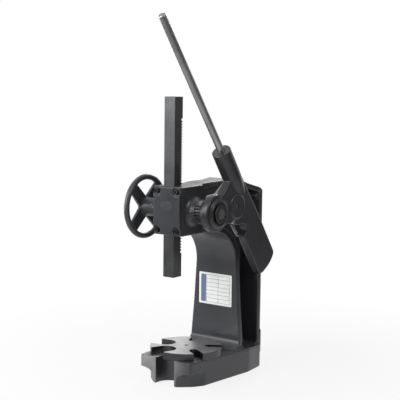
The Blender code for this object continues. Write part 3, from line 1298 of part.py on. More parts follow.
def spring_points():
    """The tension spring's centre line: a straight end, its curls and a straight end."""
    plane_x = spring_plane_x()
    start = Vector((plane_x, *tail_place()))
    end = Vector((plane_x, *anchor_place()))
    forward = (end - start).normalized()
    clear = SPRING_POST_RADIUS + SEAT_GAP
    start = start + forward * clear
    end = end - forward * clear
    side = Vector((1.0, 0.0, 0.0))
    up = forward.cross(side)
    straight = SPRING_END_LENGTH
    lead = SPRING_LEAD_LENGTH
    length = (end - start).length - 2.0 * (lead + straight)
    per_curl = 8
    count = SPRING_CURL_COUNT * per_curl
    first = start + side * SPRING_COIL_RADIUS
    points = [first, first + forward * straight]
    for index in range(count + 1):
        angle = 2.0 * math.pi * index / per_curl
        travel = straight + lead + length * index / count
        spoke = side * math.cos(angle) + up * math.sin(angle)
        points.append(start + forward * travel + spoke * SPRING_COIL_RADIUS)
    last = end + side * SPRING_COIL_RADIUS
    points.append(last - forward * straight)
    points.append(last)
    pitch = length / SPRING_CURL_COUNT
    print("pawl spring: least gap to itself (mm)", round((pitch - 2.0 * SPRING_WIRE_RADIUS) / MM, 2))
    return points


def make_spring():
    curve = bpy.data.curves.new("pawl_spring", "CURVE")
    curve.dimensions = "3D"
    curve.bevel_depth = SPRING_WIRE_RADIUS
    curve.bevel_resolution = 1
    curve.use_fill_caps = True
    points = spring_points()
    spline = curve.splines.new("POLY")
    spline.points.add(len(points) - 1)
    for slot, point in zip(spline.points, points):
        slot.co = (*point, 1.0)
    curve.materials.append(bright_steel("spring steel"))
    spring = bpy.data.objects.new("pawl_spring", curve)
    bpy.context.scene.collection.objects.link(spring)
    return spring


def make_stop_screw():
    stop_y, stop_z = lever_point(STOP_SCREW_ALONG, STOP_SCREW_ACROSS)
    seat = PLATE_OUTER_X + SEAT_GAP
    profile = [
        (PLATE_INNER_X, STOP_SCREW_RADIUS),
        (seat, STOP_SCREW_RADIUS),
        (seat, STOP_SCREW_HEAD_RADIUS),
        (seat + STOP_SCREW_HEAD_LENGTH, STOP_SCREW_HEAD_RADIUS),
    ]
    centre = (0.0, stop_y, stop_z)
    steel = bright_steel("stop screw steel")
    screw = finish("pawl_stop_screw", turned(profile, centre, "X", 16), steel, centre)
    high = seat + STOP_SCREW_HEAD_LENGTH + CUT_OVERRUN
    low = seat + STOP_SCREW_HEAD_LENGTH / 2.0
    socket = cylinder_cut("stop_socket_cut", centre, "X", STOP_SCREW_RADIUS, low, high, 6)
    return combine(screw, [socket], "DIFFERENCE")


def table_slot_outline(direction, width, inner):
    """A slot from the rim towards the centre with a round inner end."""
    half = width / 2.0
    out = Vector((math.cos(direction), math.sin(direction)))
    side = Vector((-out.y, out.x))
    end_centre = Vector((0.0, TABLE_Y)) + out * (inner + half)
    start = direction + math.pi / 2.0
    points = arc_points(end_centre, half, start, start + math.pi, 8)
    far = Vector((0.0, TABLE_Y)) + out * (TABLE_RADIUS + CUT_OVERRUN)
    points.append(tuple(far - side * half))
    points.append(tuple(far + side * half))
    return points


def make_table():
    chamfer = TABLE_EDGE_CHAMFER
    profile = [
        (0.0, TABLE_RADIUS - chamfer),
        (chamfer, TABLE_RADIUS),
        (TABLE_THICKNESS - chamfer, TABLE_RADIUS),
        (TABLE_THICKNESS, TABLE_RADIUS - chamfer),
    ]
    origin = (0.0, TABLE_Y, TABLE_BOTTOM_Z)
    table = finish("table_plate", turned(profile, origin, "Z", 72), bright_steel("table steel"), origin)
    low = TABLE_BOTTOM_Z - CUT_OVERRUN
    high = TABLE_TOP_Z + CUT_OVERRUN
    cuts = []
    for name, degrees, width, inner in TABLE_SLOTS:
        outline = table_slot_outline(math.radians(degrees), width, inner)
        cuts.append(finish(f"table_{name}_slot_cut", prism(outline, "Z", low, high), None, smooth=False))
    radius = TABLE_PIN_RADIUS + SEAT_GAP
    cuts.append(cylinder_cut("table_hole_cut", (0.0, TABLE_Y, 0.0), "Z", radius, low, high, 16))
    return combine(table, cuts, "DIFFERENCE")


def make_table_pin():
    low = BASE_HEIGHT - TABLE_PIN_DEPTH
    high = TABLE_TOP_Z - TABLE_PIN_RECESS
    centre = (0.0, TABLE_Y, 0.0)
    mesh_data = turned([(low, TABLE_PIN_RADIUS), (high, TABLE_PIN_RADIUS)], centre, "Z", 16)
    finish("table_pin", mesh_data, dark_steel("table pin steel"), centre)


def make_card():
    half_x = CARD_WIDTH / 2.0
    half_z = CARD_HEIGHT / 2.0
    middle = CARD_MIDDLE_HEIGHT
    low_z = middle - half_z
    high_z = middle + half_z
    corners = [(-half_x, low_z), (half_x, low_z), (half_x, high_z), (-half_x, high_z)]
    outline = rounded(corners, CARD_CORNER_RADIUS, 3)
    high = COLUMN_FACE_Y - SEAT_GAP
    mesh_data = prism(outline, "Y", high - CARD_THICKNESS, high)
    finish("record_card", mesh_data, make_material("card", (0.8, 0.8, 0.78), 0.5, 0.0), smooth=False)


def build():
    clear_scene()
    make_frame()
    make_cap()
    make_cap_screws()
    make_bushings()
    make_ram()
    make_pinion_shaft()
    make_keys()
    make_thrust_washer()
    make_ratchet()
    make_handwheel()
    make_handwheel_screw()
    make_lever()
    make_lever_bushing()
    make_end_collar()
    make_rod()
    make_rod_screw()
    make_pawl()
    make_pawl_pin()
    make_spring_posts()
    make_spring()
    make_stop_screw()
    make_table()
    make_table_pin()
    make_card()


build()
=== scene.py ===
from math import acos, atan2, cos, pi, radians, sin
import bmesh
import bpy
from mathutils import Matrix, Vector


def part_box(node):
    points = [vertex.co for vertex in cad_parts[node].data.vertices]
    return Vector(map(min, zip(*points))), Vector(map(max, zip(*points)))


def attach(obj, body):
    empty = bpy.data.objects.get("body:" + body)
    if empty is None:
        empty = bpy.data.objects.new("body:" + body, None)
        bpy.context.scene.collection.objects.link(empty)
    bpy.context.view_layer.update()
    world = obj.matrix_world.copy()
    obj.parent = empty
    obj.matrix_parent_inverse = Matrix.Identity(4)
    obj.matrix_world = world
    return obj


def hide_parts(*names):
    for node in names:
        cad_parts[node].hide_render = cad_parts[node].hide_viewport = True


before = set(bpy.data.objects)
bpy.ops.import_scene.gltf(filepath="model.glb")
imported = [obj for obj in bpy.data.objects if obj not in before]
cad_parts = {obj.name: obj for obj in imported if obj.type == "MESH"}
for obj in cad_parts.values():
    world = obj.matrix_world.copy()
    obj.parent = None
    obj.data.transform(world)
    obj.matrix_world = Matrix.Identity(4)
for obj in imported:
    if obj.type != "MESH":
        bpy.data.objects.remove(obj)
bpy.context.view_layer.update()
mm = 0.001
origin = (0.0, 0.0, 0.0)
collection = bpy.context.scene.collection


def boxMiddle(node):
    low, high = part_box(node)
    return (low + high) / 2


# Places read from the frame, in millimetres: the shaft's line and the table's axis
pinionY = boxMiddle("pinion_shaft").y / mm
pinionZ = boxMiddle("end_collar").z / mm
shaftLine = (0.0, pinionY, pinionZ)
tableAxis = (0.0, boxMiddle("table_plate").y / mm, 0.0)
print("frame loaded, nodes:", len(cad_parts))


# A dictionary whose values are also read as name.key
class Sizes(dict):
    __getattr__ = dict.__getitem__


# Node helpers, for shader and geometry trees alike

# A node's result, which can be reckoned with
class Value:
    def __init__(self, socket):
        self.socket = socket

    def __add__(self, other):
        return maths("ADD", self, other)

    def __sub__(self, other):
        return maths("SUBTRACT", self, other)

    def __rsub__(self, other):
        return maths("SUBTRACT", other, self)

    def __mul__(self, other):
        return maths("MULTIPLY", self, other)

    def __truediv__(self, other):
        return maths("DIVIDE", self, other)

    def __rtruediv__(self, other):
        return maths("DIVIDE", other, self)


# The tree that is being built
def useGraph(tree):
    global graph
    graph = tree
    return tree


def fill(node, values):
    for key, value in values.items():
        value = getattr(value, "socket", value)
        if isinstance(value, bpy.types.NodeSocket):
            graph.links.new(value, node.inputs[key])
        else:
            node.inputs[key].default_value = value
    return node.outputs


def add(kind, values=None, **settings):
    node = graph.nodes.new(kind)
    for key, value in settings.items():
        setattr(node, key, value)
    return fill(node, values or {})


def put(kind, values=None, **settings):
    return Value(add(kind, values, **settings)[0])


def maths(operation, *values):
    return put("ShaderNodeMath", dict(enumerate(values)), operation=operation)


def vector(x=0.0, y=0.0, z=0.0):
    return put("ShaderNodeCombineXYZ", {0: x, 1: y, 2: z})


def rise(z):
    return vector(0.0, 0.0, z)


def split(value):
    return add("ShaderNodeSeparateXYZ", {0: value})


# Material building

def noise(place, scale, detail=4.0, roughness=0.5):
    return put("ShaderNodeTexNoise",
               {"Vector": place, "Scale": scale, "Detail": detail, "Roughness": roughness})


def spread(value, low, high, outLow=0.0, outHigh=1.0):
    return put("ShaderNodeMapRange",
               {"Value": value, "From Min": low, "From Max": high, "To Min": outLow, "To Max": outHigh})


def mixColour(share, first, second):
    first, second = ((*c, 1.0) if isinstance(c, tuple) else c for c in (first, second))
    return add("ShaderNodeMix", {"Factor": share, 6: first, 7: second}, data_type="RGBA")[2]


def scaled(colour, gain):
    return tuple(min(c * gain, 1.0) for c in colour)


def stretched(place, scale, shift=origin):
    return put("ShaderNodeMapping", {"Vector": place, "Scale": scale, "Location": shift})


def bump(height, strength, distance, **before):
    return put("ShaderNodeBump", {"Height": height, "Strength": strength, "Distance": distance, **before})


def startMaterial(name):
    material = bpy.data.materials.new(name)
    material.use_nodes = True
    shader = useGraph(material.node_tree).nodes["Principled BSDF"]
    place = add("ShaderNodeTexCoord")
    return material, shader, place["Object"], place["Normal"]


# Charcoal enamel over a sand casting: slow shade changes, fine orange peel, soft casting waves,
# a little dusting on what faces up that is partly painted light from above, and edges rubbed paler
enamel = Sizes(
    dark=(0.027, 0.028, 0.0325), pale=(0.040, 0.041, 0.047),
    dustAndTopLight=(0.115, 0.118, 0.122), worn=(0.10, 0.10, 0.105),
    roughness=(0.26, 0.35), dustRoughness=0.2,
    shadeSize=6.0, dustSize=38.0, scuffSize=130.0, glossSize=16.0,
    waveSize=60.0, waves=0.35, waveDepth=0.0008,
    peelSize=420.0, peelDepth=0.0005,
)


def enamelMaterial(name, gain=1.0, dustAndTopLightShare=0.55, wornShare=0.6, peel=0.16):
    s = enamel
    material, shader, spot, normal = startMaterial(name)
    dark, pale, dustAndTopLightTone, bare = (scaled(s[key], gain) for key in ("dark", "pale", "dustAndTopLight", "worn"))
    slow = spread(noise(spot, s.shadeSize, 2.0, 0.45), 0.25, 0.75)
    shade = mixColour(slow, dark, pale)
    # Paler on what faces up: dusting, and painted light from above
    upward = spread(split(normal)["Z"], 0.55, 0.98)
    speckle = spread(noise(spot, s.dustSize, 6.0, 0.65), 0.34, 0.66, 0.25, 1.0)
    dustAndTopLight = upward * speckle * dustAndTopLightShare
    shade = mixColour(dustAndTopLight, shade, dustAndTopLightTone)
    scuffed = spread(noise(spot, s.scuffSize, 5.0, 0.7), 0.38, 0.6)
    edges = add("ShaderNodeAttribute", attribute_name="wear")["Fac"]
    worn = scuffed * edges * wornShare
    rough = spread(noise(spot, s.glossSize, 2.0), 0.2, 0.8, *s.roughness)
    waves = bump(noise(spot, s.waveSize, 3.0), s.waves, s.waveDepth)
    fill(shader, {
        "Base Color": mixColour(worn, shade, bare),
        "Roughness": rough + dustAndTopLight * s.dustRoughness,
        "Normal": bump(noise(spot, s.peelSize, 2.0), peel, s.peelDepth, Normal=waves),
    })
    return material


# Steel finishes: the grain runs along one axis, round an axis, or has no direction. Sides can be
# darker than what faces up or down, and bare iron can fade into the paint along x, a painted falloff of light.
steel = Sizes(
    blotchSize=14.0, streaks=0.25, streakTone=0.45, sideTones=(0.75, 1.3),
    grainDepth=0.0002, grainBump=0.12, raggedSize=30.0, ragged=0.06,
)


def steelMaterial(name, colour, rough, grain=(1.0, 1.0, 1.0), grainSize=500.0, stain=0.25,
                  turned=None, ringAxis="X", sides=None, fade=None):
    s = steel
    material, shader, spot, normal = startMaterial(name)
    if turned is None:
        grainPlace = stretched(spot, grain)
    else:
        centred = split(stretched(spot, (1.0, 1.0, 1.0), tuple(-c * mm for c in turned)))
        squares = [maths("POWER", maths("ABSOLUTE", centred[a]), 2.0)
                   for a in "XYZ".replace(ringAxis, "")]
        grainPlace = vector(maths("SQRT", maths("ADD", *squares)), centred[ringAxis])
    lines = noise(grainPlace, grainSize, 3.0, 0.6)
    blotch = spread(noise(spot, s.blotchSize, 6.0, 0.62), 0.3, 0.72)
    shade = mixColour(blotch, scaled(colour, 1.0 - stain), scaled(colour, 1.0 + stain))
    streak = spread(lines, 0.3, 0.7, 0.0, s.streaks)
    shade = mixColour(streak, shade, scaled(colour, s.streakTone))
    if sides is not None:
        dark = mixColour(blotch, *(scaled(sides, tone) for tone in s.sideTones))
        level = maths("ABSOLUTE", split(normal)["Z"])
        shade = mixColour(spread(level, 0.55, 0.85), dark, shade)
    metallic = 1.0
    # Painted light: pale bare iron fading into dark paint along x stands in for light falling off from left to right
    if fade is not None:
        edge = noise(spot, s.raggedSize, 6.0, 0.7)
        painted = spread(maths("MULTIPLY_ADD", edge, s.ragged, split(spot)["X"]), *fade["reach"])
        shade = mixColour(painted, shade, fade["colour"])
        metallic = 1.0 - painted
    fill(shader, {
        "Base Color": shade, "Metallic": metallic,
        "Roughness": spread(lines, 0.3, 0.7, rough * 0.8, min(rough * 1.25, 1.0)),
        "Normal": bump(lines, s.grainBump, s.grainDepth),
    })
    return material


# Printed plastic sheet: a faint weave of gloss, slow changes of tone and a little grime
def sheetMaterial(name, colour):
    material, shader, spot, _ = startMaterial(name)
    slow = spread(noise(spot, 26.0), 0.3, 0.7)
    shade = mixColour(slow, scaled(colour, 0.93), scaled(colour, 1.04))
    grime = spread(noise(spot, 160.0, 5.0, 0.7), 0.58, 0.75, 0.0, 0.25)
    fill(shader, {
        "Base Color": mixColour(grime, shade, scaled(colour, 0.6)),
        "Roughness": spread(noise(spot, 300.0, 3.0), 0.3, 0.7, 0.35, 0.5),
        "Normal": bump(noise(spot, 900.0, 2.0), 0.1, 0.0001),
    })
    return material


# Each finish is filed under the slot that wears it; the last ones are named by the code
millGrain = {"grain": (0.15, 1.0, 1.0), "stain": 0.3}
turnedOnShaft = {"turned": shaftLine, "grainSize": 600.0}
finishes = {
    "frame_paint": enamelMaterial("frame enamel"),
    "cap_paint": enamelMaterial("cap enamel", gain=0.88, dustAndTopLightShare=0.5, wornShare=0.8, peel=0.22),
    # The lever's enamel is darker: black paint, and also painted shade that holds down the fill lamp's light on the
    # lever
    "lever_paint": enamelMaterial("lever enamel", gain=0.52, wornShare=0.9),
    # The handwheel's enamel is paler: painted light standing in for the light on its rim
    "handwheel_paint": enamelMaterial("handwheel enamel", gain=1.3, wornShare=0.8, peel=0.3),
    "ram_steel": steelMaterial("ground ram steel", (0.115, 0.117, 0.12), 0.36, (1.0, 1.0, 0.03), 900.0),
    "rod_steel": steelMaterial("drawn rod steel", (0.36, 0.36, 0.36), 0.34, (1.0, 0.2, 0.2), 700.0),
    "table_steel": steelMaterial("turned table steel", (0.44, 0.44, 0.445), 0.33, grainSize=650.0,
                                 turned=tableAxis, ringAxis="Z", sides=(0.075, 0.075, 0.078)),
    "pinion_steel": steelMaterial("shaft steel", (0.20, 0.20, 0.205), 0.36, **turnedOnShaft),
    "collar_steel": steelMaterial("collar steel", (0.085, 0.085, 0.088), 0.34, **turnedOnShaft),
    "washer_steel": steelMaterial("washer steel", (0.36, 0.36, 0.36), 0.35, **turnedOnShaft),
    "ratchet_steel": steelMaterial("hardened ratchet steel", (0.11, 0.11, 0.115), 0.40, turned=shaftLine),
    "bronze": steelMaterial("bushing bronze", (0.46, 0.30, 0.14), 0.38, turned=shaftLine),
    "pawl_steel": steelMaterial("forged pawl steel", (0.30, 0.30, 0.31), 0.30, grainSize=260.0, stain=0.4),
    "pin_steel": steelMaterial("pin steel", (0.20, 0.20, 0.205), 0.28),
    # Spring steel is raised in tone so that the coil shows in the shade under the lever: partly painted light
    "spring_steel": steelMaterial("spring steel", (0.50, 0.50, 0.51), 0.30, grainSize=800.0),
    "bright_screw_steel": steelMaterial("bright screw steel", (0.55, 0.55, 0.56), 0.25, grainSize=600.0, stain=0.12),
    "set_screw_steel": steelMaterial("blackened screw steel", (0.045, 0.045, 0.048), 0.40, stain=0.35),
    "cap_screw_steel": steelMaterial("cap screw steel", (0.060, 0.060, 0.064), 0.36, stain=0.35),
    "card": sheetMaterial("card ground", (0.72, 0.73, 0.72)),
    "cardInk": sheetMaterial("card ruling", (0.05, 0.055, 0.06)),
    "cardBand": sheetMaterial("card band", (0.10, 0.15, 0.24)),
    "keySteel": steelMaterial("key steel", (0.25, 0.25, 0.26), 0.35, (0.1, 1.0, 1.0), 600.0),
    "machinedIron": steelMaterial("machined cast iron", (0.25, 0.25, 0.255), 0.44, **millGrain),
    # The base's front: bare iron on the left fading to paint towards +x, a painted falloff of light across the front
    "frontIronLightFalloff": steelMaterial("base front with painted light falloff", (0.29, 0.29, 0.295), 0.44, **millGrain,
                               fade={"reach": (-0.015, 0.115), "colour": (0.038, 0.039, 0.044)}),
    # The socket face's iron is darker than the machined iron: partly painted shade, for the rod's shadow on the face
    "socketIron": steelMaterial("bored socket iron", (0.125, 0.125, 0.128), 0.36, grainSize=420.0, stain=0.45),
}
print("materials ready")


# Mesh building, in millimetres; finished meshes are brought to metres

def loftSolid(rings):
    made = bmesh.new()
    rows = [[made.verts.new(p) for p in ring] for ring in rings]
    count = len(rows[0])
    for lower, upper in zip(rows, rows[1:]):
        for i in range(count):
            j = (i + 1) % count
            made.faces.new((lower[i], lower[j], upper[j], upper[i]))
    made.faces.new(rows[0][::-1])
    made.faces.new(rows[-1])
    return made


def prismSolid(outline, axis, low, high):
    place = {"X": lambda u, v, w: (w, u, v), "Y": lambda u, v, w: (u, w, v), "Z": lambda u, v, w: (u, v, w)}[axis]
    return loftSolid([[place(u, v, level) for u, v in outline] for level in (low, high)])


def rectangle(left, right, low, high):
    return [(left, low), (right, low), (right, high), (left, high)]


# A turned solid from (distance, radius) points; with a bore, or where it is closed, the profile is a ring's
def turnedSolid(profile, centre=shaftLine, axis="X", sides=64, bore=None, closed=False):
    if axis == "Z":
        forward, side, up = (Vector(v) for v in ((0, 0, 1), (1, 0, 0), (0, 1, 0)))
    elif axis == "X":
        forward, side, up = (Vector(v) for v in ((1, 0, 0), (0, 1, 0), (0, 0, 1)))
    else:
        forward, side = Vector(axis).normalized(), Vector((1, 0, 0))
        up = forward.cross(side)
    loop = list(profile)
    if bore is not None:
        loop += [(profile[-1][0], bore), (profile[0][0], bore)]
    made = bmesh.new()
    rows = []
    for i in range(sides):
        angle = 2 * pi * i / sides
        spoke = side * cos(angle) + up * sin(angle)
        rows.append([made.verts.new(Vector(centre) + forward * d + spoke * r) for d, r in loop])
    ring = closed or bore is not None
    steps = len(loop) if ring else len(loop) - 1
    for i, row in enumerate(rows):
        following = rows[(i + 1) % sides]
        for k in range(steps):
            n = (k + 1) % len(loop)
            made.faces.new((row[k], row[n], following[n], following[k]))
    if not ring:
        made.faces.new([row[0] for row in rows][::-1])
        made.faces.new([row[-1] for row in rows])
    return made


# A plain round bar, or a drill, between two distances along its axis
def roundSolid(low, high, radius, *place, **more):
    return turnedSolid([(low, radius), (high, radius)], *place, **more)


def arc(centre, radius, start, end, steps):
    angles = [start + (end - start) * i / steps for i in range(steps + 1)]
    return [(centre[0] + radius * cos(a), centre[1] + radius * sin(a)) for a in angles]


# Corners rounded by short curves; each corner gives the same number of points
def roundedOutline(points, radius, steps=4):
    made = []
    for i, point in enumerate(points):
        here = Vector(point)
        before = Vector(points[i - 1]) - here
        after = Vector(points[(i + 1) % len(points)]) - here
        start = here + before.normalized() * min(radius, before.length * 0.48)
        end = here + after.normalized() * min(radius, after.length * 0.48)
        for k in range(steps + 1):
            t = k / steps
            made.append(tuple(start.lerp(here, t).lerp(here.lerp(end, t), t)))
    return made


def looseObject(name, mesh):
    made = bpy.data.objects.new(name, mesh)
    collection.objects.link(made)
    return made


def solidObject(name, *parts):
    whole = bmesh.new()
    for part in parts:
        bmesh.ops.recalc_face_normals(part, faces=part.faces)
        single = bpy.data.meshes.new(name)
        part.to_mesh(single)
        part.free()
        whole.from_mesh(single)
        bpy.data.meshes.remove(single)
    mesh = bpy.data.meshes.new(name)
    whole.to_mesh(mesh)
    whole.free()
    return looseObject(name, mesh)


def modify(made, kind, **settings):
    step = made.modifiers.new(kind.lower(), kind)
    for key, value in settings.items():
        setattr(step, key, value)
    return step


def evaluated(made):
    bpy.context.view_layer.update()
    state = bpy.context.evaluated_depsgraph_get()
    mesh = bpy.data.meshes.new_from_object(made.evaluated_get(state))
    made.modifiers.clear()
    made.data = mesh
    mesh.name = made.name
    return made


def combined(made, others, operation="DIFFERENCE", mode="TRANSFER"):
    for other in others:
        modify(made, "BOOLEAN", operation=operation, solver="EXACT", object=other, material_mode=mode)
    evaluated(made)
    for other in others:
        bpy.data.objects.remove(other)
    return made


# How far each point stands out of the surface round it: it feeds the rubbed edges
def markWear(made, reach):
    work = bmesh.new()
    work.from_mesh(made.data)
    work.normal_update()
    values = []
    for point in work.verts:
        total = 0.0
        for edge in point.link_edges:
            along = edge.other_vert(point).co - point.co
            total -= along.dot(point.normal) / max(along.length_squared, 1e-9)
        values.append(min(max(total / max(len(point.link_edges), 1) * reach, 0.0), 1.0))
    work.free()
    layer = made.data.attributes.new("wear", "FLOAT", "POINT")
    layer.data.foreach_set("value", values)


# A sand casting's skin: overlapping solids become one, whose edges and corners are softened
def skinned(made, voxel, softening, keep):
    modify(made, "REMESH", mode="VOXEL", voxel_size=voxel)
    modify(made, "SMOOTH", factor=0.5, iterations=softening)
    modify(made, "DECIMATE", ratio=keep)
    return evaluated(made)


# The solids' sharp edges are blunted first, so that the skin has no ripples along them
def castPiece(name, parts, voxel, softening, keep):
    made = solidObject(name, *parts)
    modify(made, "BEVEL", width=voxel * 1.9, segments=3, limit_method="ANGLE",
           angle_limit=radians(40.0), use_clamp_overlap=False)
    return skinned(made, voxel, softening, keep)


# A cutter whose faces leave a machined surface behind
def machinedCutter(name, part, paint, bare):
    cutter = solidObject(name, part)
    for finish in (paint, bare):
        cutter.data.materials.append(finishes[finish])
    cutter.data.polygons.foreach_set("material_index", [1] * len(cutter.data.polygons))
    return cutter


# Brings a millimetre mesh to metres, gives it its finish and lets it ride; a piece that was
# cut by machined cutters already has its materials
def finishPiece(made, body, slot, *nodes, finish=None, smooth=35.0, bevel=0.0, bevelSegments=2, machined=False):
    if bevel > 0.0:
        modify(made, "BEVEL", width=bevel, segments=bevelSegments, limit_method="ANGLE",
               angle_limit=radians(30.0))
        evaluated(made)
    made.data.transform(Matrix.Scale(mm, 4))
    made.data.shade_smooth()
    made.data.set_sharp_from_angle(angle=radians(smooth))
    if bevel > 0.0:
        modify(made, "WEIGHTED_NORMAL", keep_sharp=True)
        evaluated(made)
    if not machined:
        made.data.materials.clear()
        made.data.materials.append(finishes[finish or slot])
    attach(made, body)
    if nodes:
        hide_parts(*nodes)
    return made


# Geometry Nodes helpers

def startTree(name, sizes):
    tree = useGraph(bpy.data.node_groups.new(name, "GeometryNodeTree"))
    tree.interface.new_socket("Geometry", in_out="OUTPUT", socket_type="NodeSocketGeometry")
    for label, value in sizes.items():
        kind = "NodeSocketInt" if isinstance(value, int) else "NodeSocketFloat"
        tree.interface.new_socket(label, in_out="INPUT", socket_type=kind)
    given = add("NodeGroupInput")
    return Sizes({label: Value(given[label]) for label in sizes})


def geo(kind, values=None, **settings):
    return put("GeometryNode" + kind, values, **settings)


def joined(*parts):
    node = graph.nodes.new("GeometryNodeJoinGeometry")
    for part in parts:
        graph.links.new(part.socket, node.inputs[0])
    return Value(node.outputs[0])


def grow(name, sizes, last, slot):
    real = geo("RealizeInstances", {0: last})
    painted = geo("SetMaterial", {"Geometry": real, "Material": finishes[slot]})
    add("NodeGroupOutput", {0: painted})
    made = looseObject(name, bpy.data.meshes.new(name))
    step = modify(made, "NODES", node_group=graph)
    for item in graph.interface.items_tree:
        if item.in_out == "INPUT":
            step[item.identifier] = sizes[item.name]
    return evaluated(made)


def moved(shape, place=origin, turn=origin):
    return geo("Transform", {"Geometry": shape, "Translation": place, "Rotation": turn})


def cylinderNodes(sides, radius, depth):
    return geo("MeshCylinder", {"Vertices": sides, "Radius": radius, "Depth": depth})


def blockNodes(size, place=origin):
    return moved(geo("MeshCube", {"Size": size}), place)


def lineNodes(count=1, start=origin, offset=origin):
    return geo("MeshLine", {"Count": count, "Start Location": start, "Offset": offset})


def repeated(points, shape, turn=origin):
    return geo("InstanceOnPoints", {"Points": points, "Instance": shape, "Rotation": turn})


def circleNodes(steps, radius):
    return geo("CurvePrimitiveCircle", {"Resolution": steps, "Radius": radius})


def tubeNodes(path, section, caps=False):
    return geo("CurveToMesh", {"Curve": path, "Profile Curve": section, "Fill Caps": caps})


# A closed slab from a flat four-sided curve, used for teeth and spokes
def slabNodes(mode, curve, thickness):
    outline = geo("CurvePrimitiveQuadrilateral", curve, mode=mode)
    flat = geo("FillCurve", {"Curve": outline}, mode="NGONS")
    raised = geo("ExtrudeMesh", {"Mesh": flat, "Offset Scale": thickness}, mode="FACES")
    both = joined(raised, geo("FlipFaces", {"Mesh": flat}))
    return geo("MergeByDistance", {"Geometry": both, "Distance": 0.001})


def aroundNodes(shape, count, first=0.0):
    step = 2 * pi / count
    turn = geo("InputIndex") * step + first
    return repeated(lineNodes(count), shape, rise(turn))


def wedgeNodes(bottom, top, height, thickness):
    sides = {"Bottom Width": bottom, "Top Width": top, "Offset": 0.0, "Height": height}
    return slabNodes("TRAPEZOID", sides, thickness)


# The four corners of a tooth, each a radius and an angle
def toothCorners(*corners):
    return {f"Point {i}": vector(radius * maths("COSINE", angle), radius * maths("SINE", angle))
            for i, (radius, angle) in enumerate(corners, 1)}


# Shapes grown flat about Z are stood on the shaft's line, which runs along X
def standOnShaft(made, x):
    turn = Matrix(((0, 0, 1, 0), (1, 0, 0, 0), (0, 1, 0, 0), (0, 0, 0, 1)))
    made.data.transform(Matrix.Translation((x, pinionY, pinionZ)) @ turn)
    return made


# The frame casting: base, column with its flanges and web, head and bosses

frameSizes = Sizes(
    columnFace=-72.5, columnBack=72, frontThick=24, backThick=20, webThick=36,
    throatRadius=127, footRadius=30, bury=12,
    headBottom=519, headTop=690, headWidth=113,
    headFront=-351.725, headRear=-229.725, headSink=3,
    # the head's side outline: share of its height, share of its length
    headOutline=((0, 1.15), (0.12, 1.10), (0.24, 1.04), (0.38, 0.96), (0.53, 0.89),
                 (0.66, 0.865), (0.77, 0.86), (0.88, 0.92), (0.985, 1)),
    frontTop=176, frontMiddle=194, frontFoot=220, throatBlend=50,
    backWide=206, topNarrow=80, spreadStart=-109.7, dropStart=-24.7, drop=48,
    # how the top falls to the back: share of the run, share of the fall; then its line to the front
    falls=((0, 0), (0.1, 0.05), (0.17, 0.12), (0.3, 0.25), (0.44, 0.36), (0.6, 0.46),
           (0.74, 0.55), (0.86, 0.63), (0.94, 0.71), (1, 0.9)),
    topLine=((-188, 0), (-200, 0.6), (-212, 2.2)),
    backMiddle=300,
    # the base's outline on the floor and above its toes, as x and the distance behind the front
    toes=((50, 0), (93, 38.5), (114, 75)), slab=((109, 0), (111.5, 38.5), (114, 75)),
    rear=((132, -43.5), (119.6, 47), (101, 72.5)), toeLow=22, toeRise=29,
    baseHeight=92, baseRear=76, baseFront=-366, baseBack=72.5, seatEnd=-112,
    slopeStart=-102.5, slotHalf=38.9, slotDepth=61.5, cornerRadius=10, spare=1.6,
    padHalf=105, padLow=45, padHigh=132, padThick=3,
    # side pockets: which flange, height, way up, half width
    pockets=(("front", 84, 1, 106), ("back", 78.5, 1, 101), ("back", 626, -1, 90)),
    pocketRadius=20, pocketRoot=6,
    # shaft bosses: side, length, radius, fillet
    bosses=((1, 27.5, 36, 21), (-1, 43.5, 34, 25)),
    channelHalf=22.5, channelBack=-306.9, headFace=-351.7, bore=27.3,
    voxel=2, softening=9, keep=0.28, wear=5,
)


def baseRing(share, height):
    s = frameSizes
    front, half = s.baseFront, s.slotHalf
    right = [(a + (b - a) * share, front + y) for (a, y), (b, _) in zip(s.toes, s.slab)] + list(s.rear)
    left = [(-x, y) for x, y in reversed(right)]
    slot = arc((0.0, front + s.slotDepth - half), half, pi, 0.0, 12)
    whole = [(half, front)] + right + left + [(-half, front)]
    outline = roundedOutline(whole, s.cornerRadius, 5)[6:-6]
    fall = (s.baseHeight - s.baseRear) / (s.baseBack - s.slopeStart)
    made = []
    for x, y in [(half, front)] + outline + [(-half, front)] + slot:
        level = height
        if height > s.baseRear and y > s.slopeStart:
            level = height - s.spare - fall * (y - s.slopeStart)
        made.append((x, y - s.spare if y < front + 1.0 else y, level))
    return made


def baseSolid(steps=8):
    s = frameSizes
    rings = [baseRing(0.0, 0.0), baseRing(0.0, s.toeLow)]
    for i in range(1, steps + 1):
        angle = pi / 2 * i / steps
        rings.append(baseRing(1.0 - cos(angle), s.toeLow + s.toeRise * sin(angle)))
    rings.append(baseRing(1.0, s.baseHeight + s.spare))
    return loftSolid(rings)


# A flange from stations of (y, z, inward y, inward z, half width)
def flangeSolid(stations, thick):
    rings = []
    for y, z, inY, inZ, half in stations:
        inner = (y + inY * thick, z + inZ * thick)
        rings.append([(-half, y, z), (half, y, z), (half, *inner), (-half, *inner)])
    return loftSolid(rings)


def frontHalf(z):
    s = frameSizes
    top = s.headBottom - s.throatRadius
    middle = (s.baseHeight + top) / 2
    if z >= top:
        return s.frontTop / 2
    if z >= middle:
        return (s.frontTop + (s.frontMiddle - s.frontTop) * (top - z) / (top - middle)) / 2
    return (s.frontMiddle + (s.frontFoot - s.frontMiddle) * (middle - z) / (middle - s.baseHeight)) / 2


def throatHalf(y):
    s = frameSizes
    narrow = s.headWidth / 2 - 1.0
    t = min(max((y - s.headRear) / s.throatBlend, 0.0), 1.0)
    return narrow + (s.frontTop / 2 - narrow) * t * t * (3 - 2 * t)


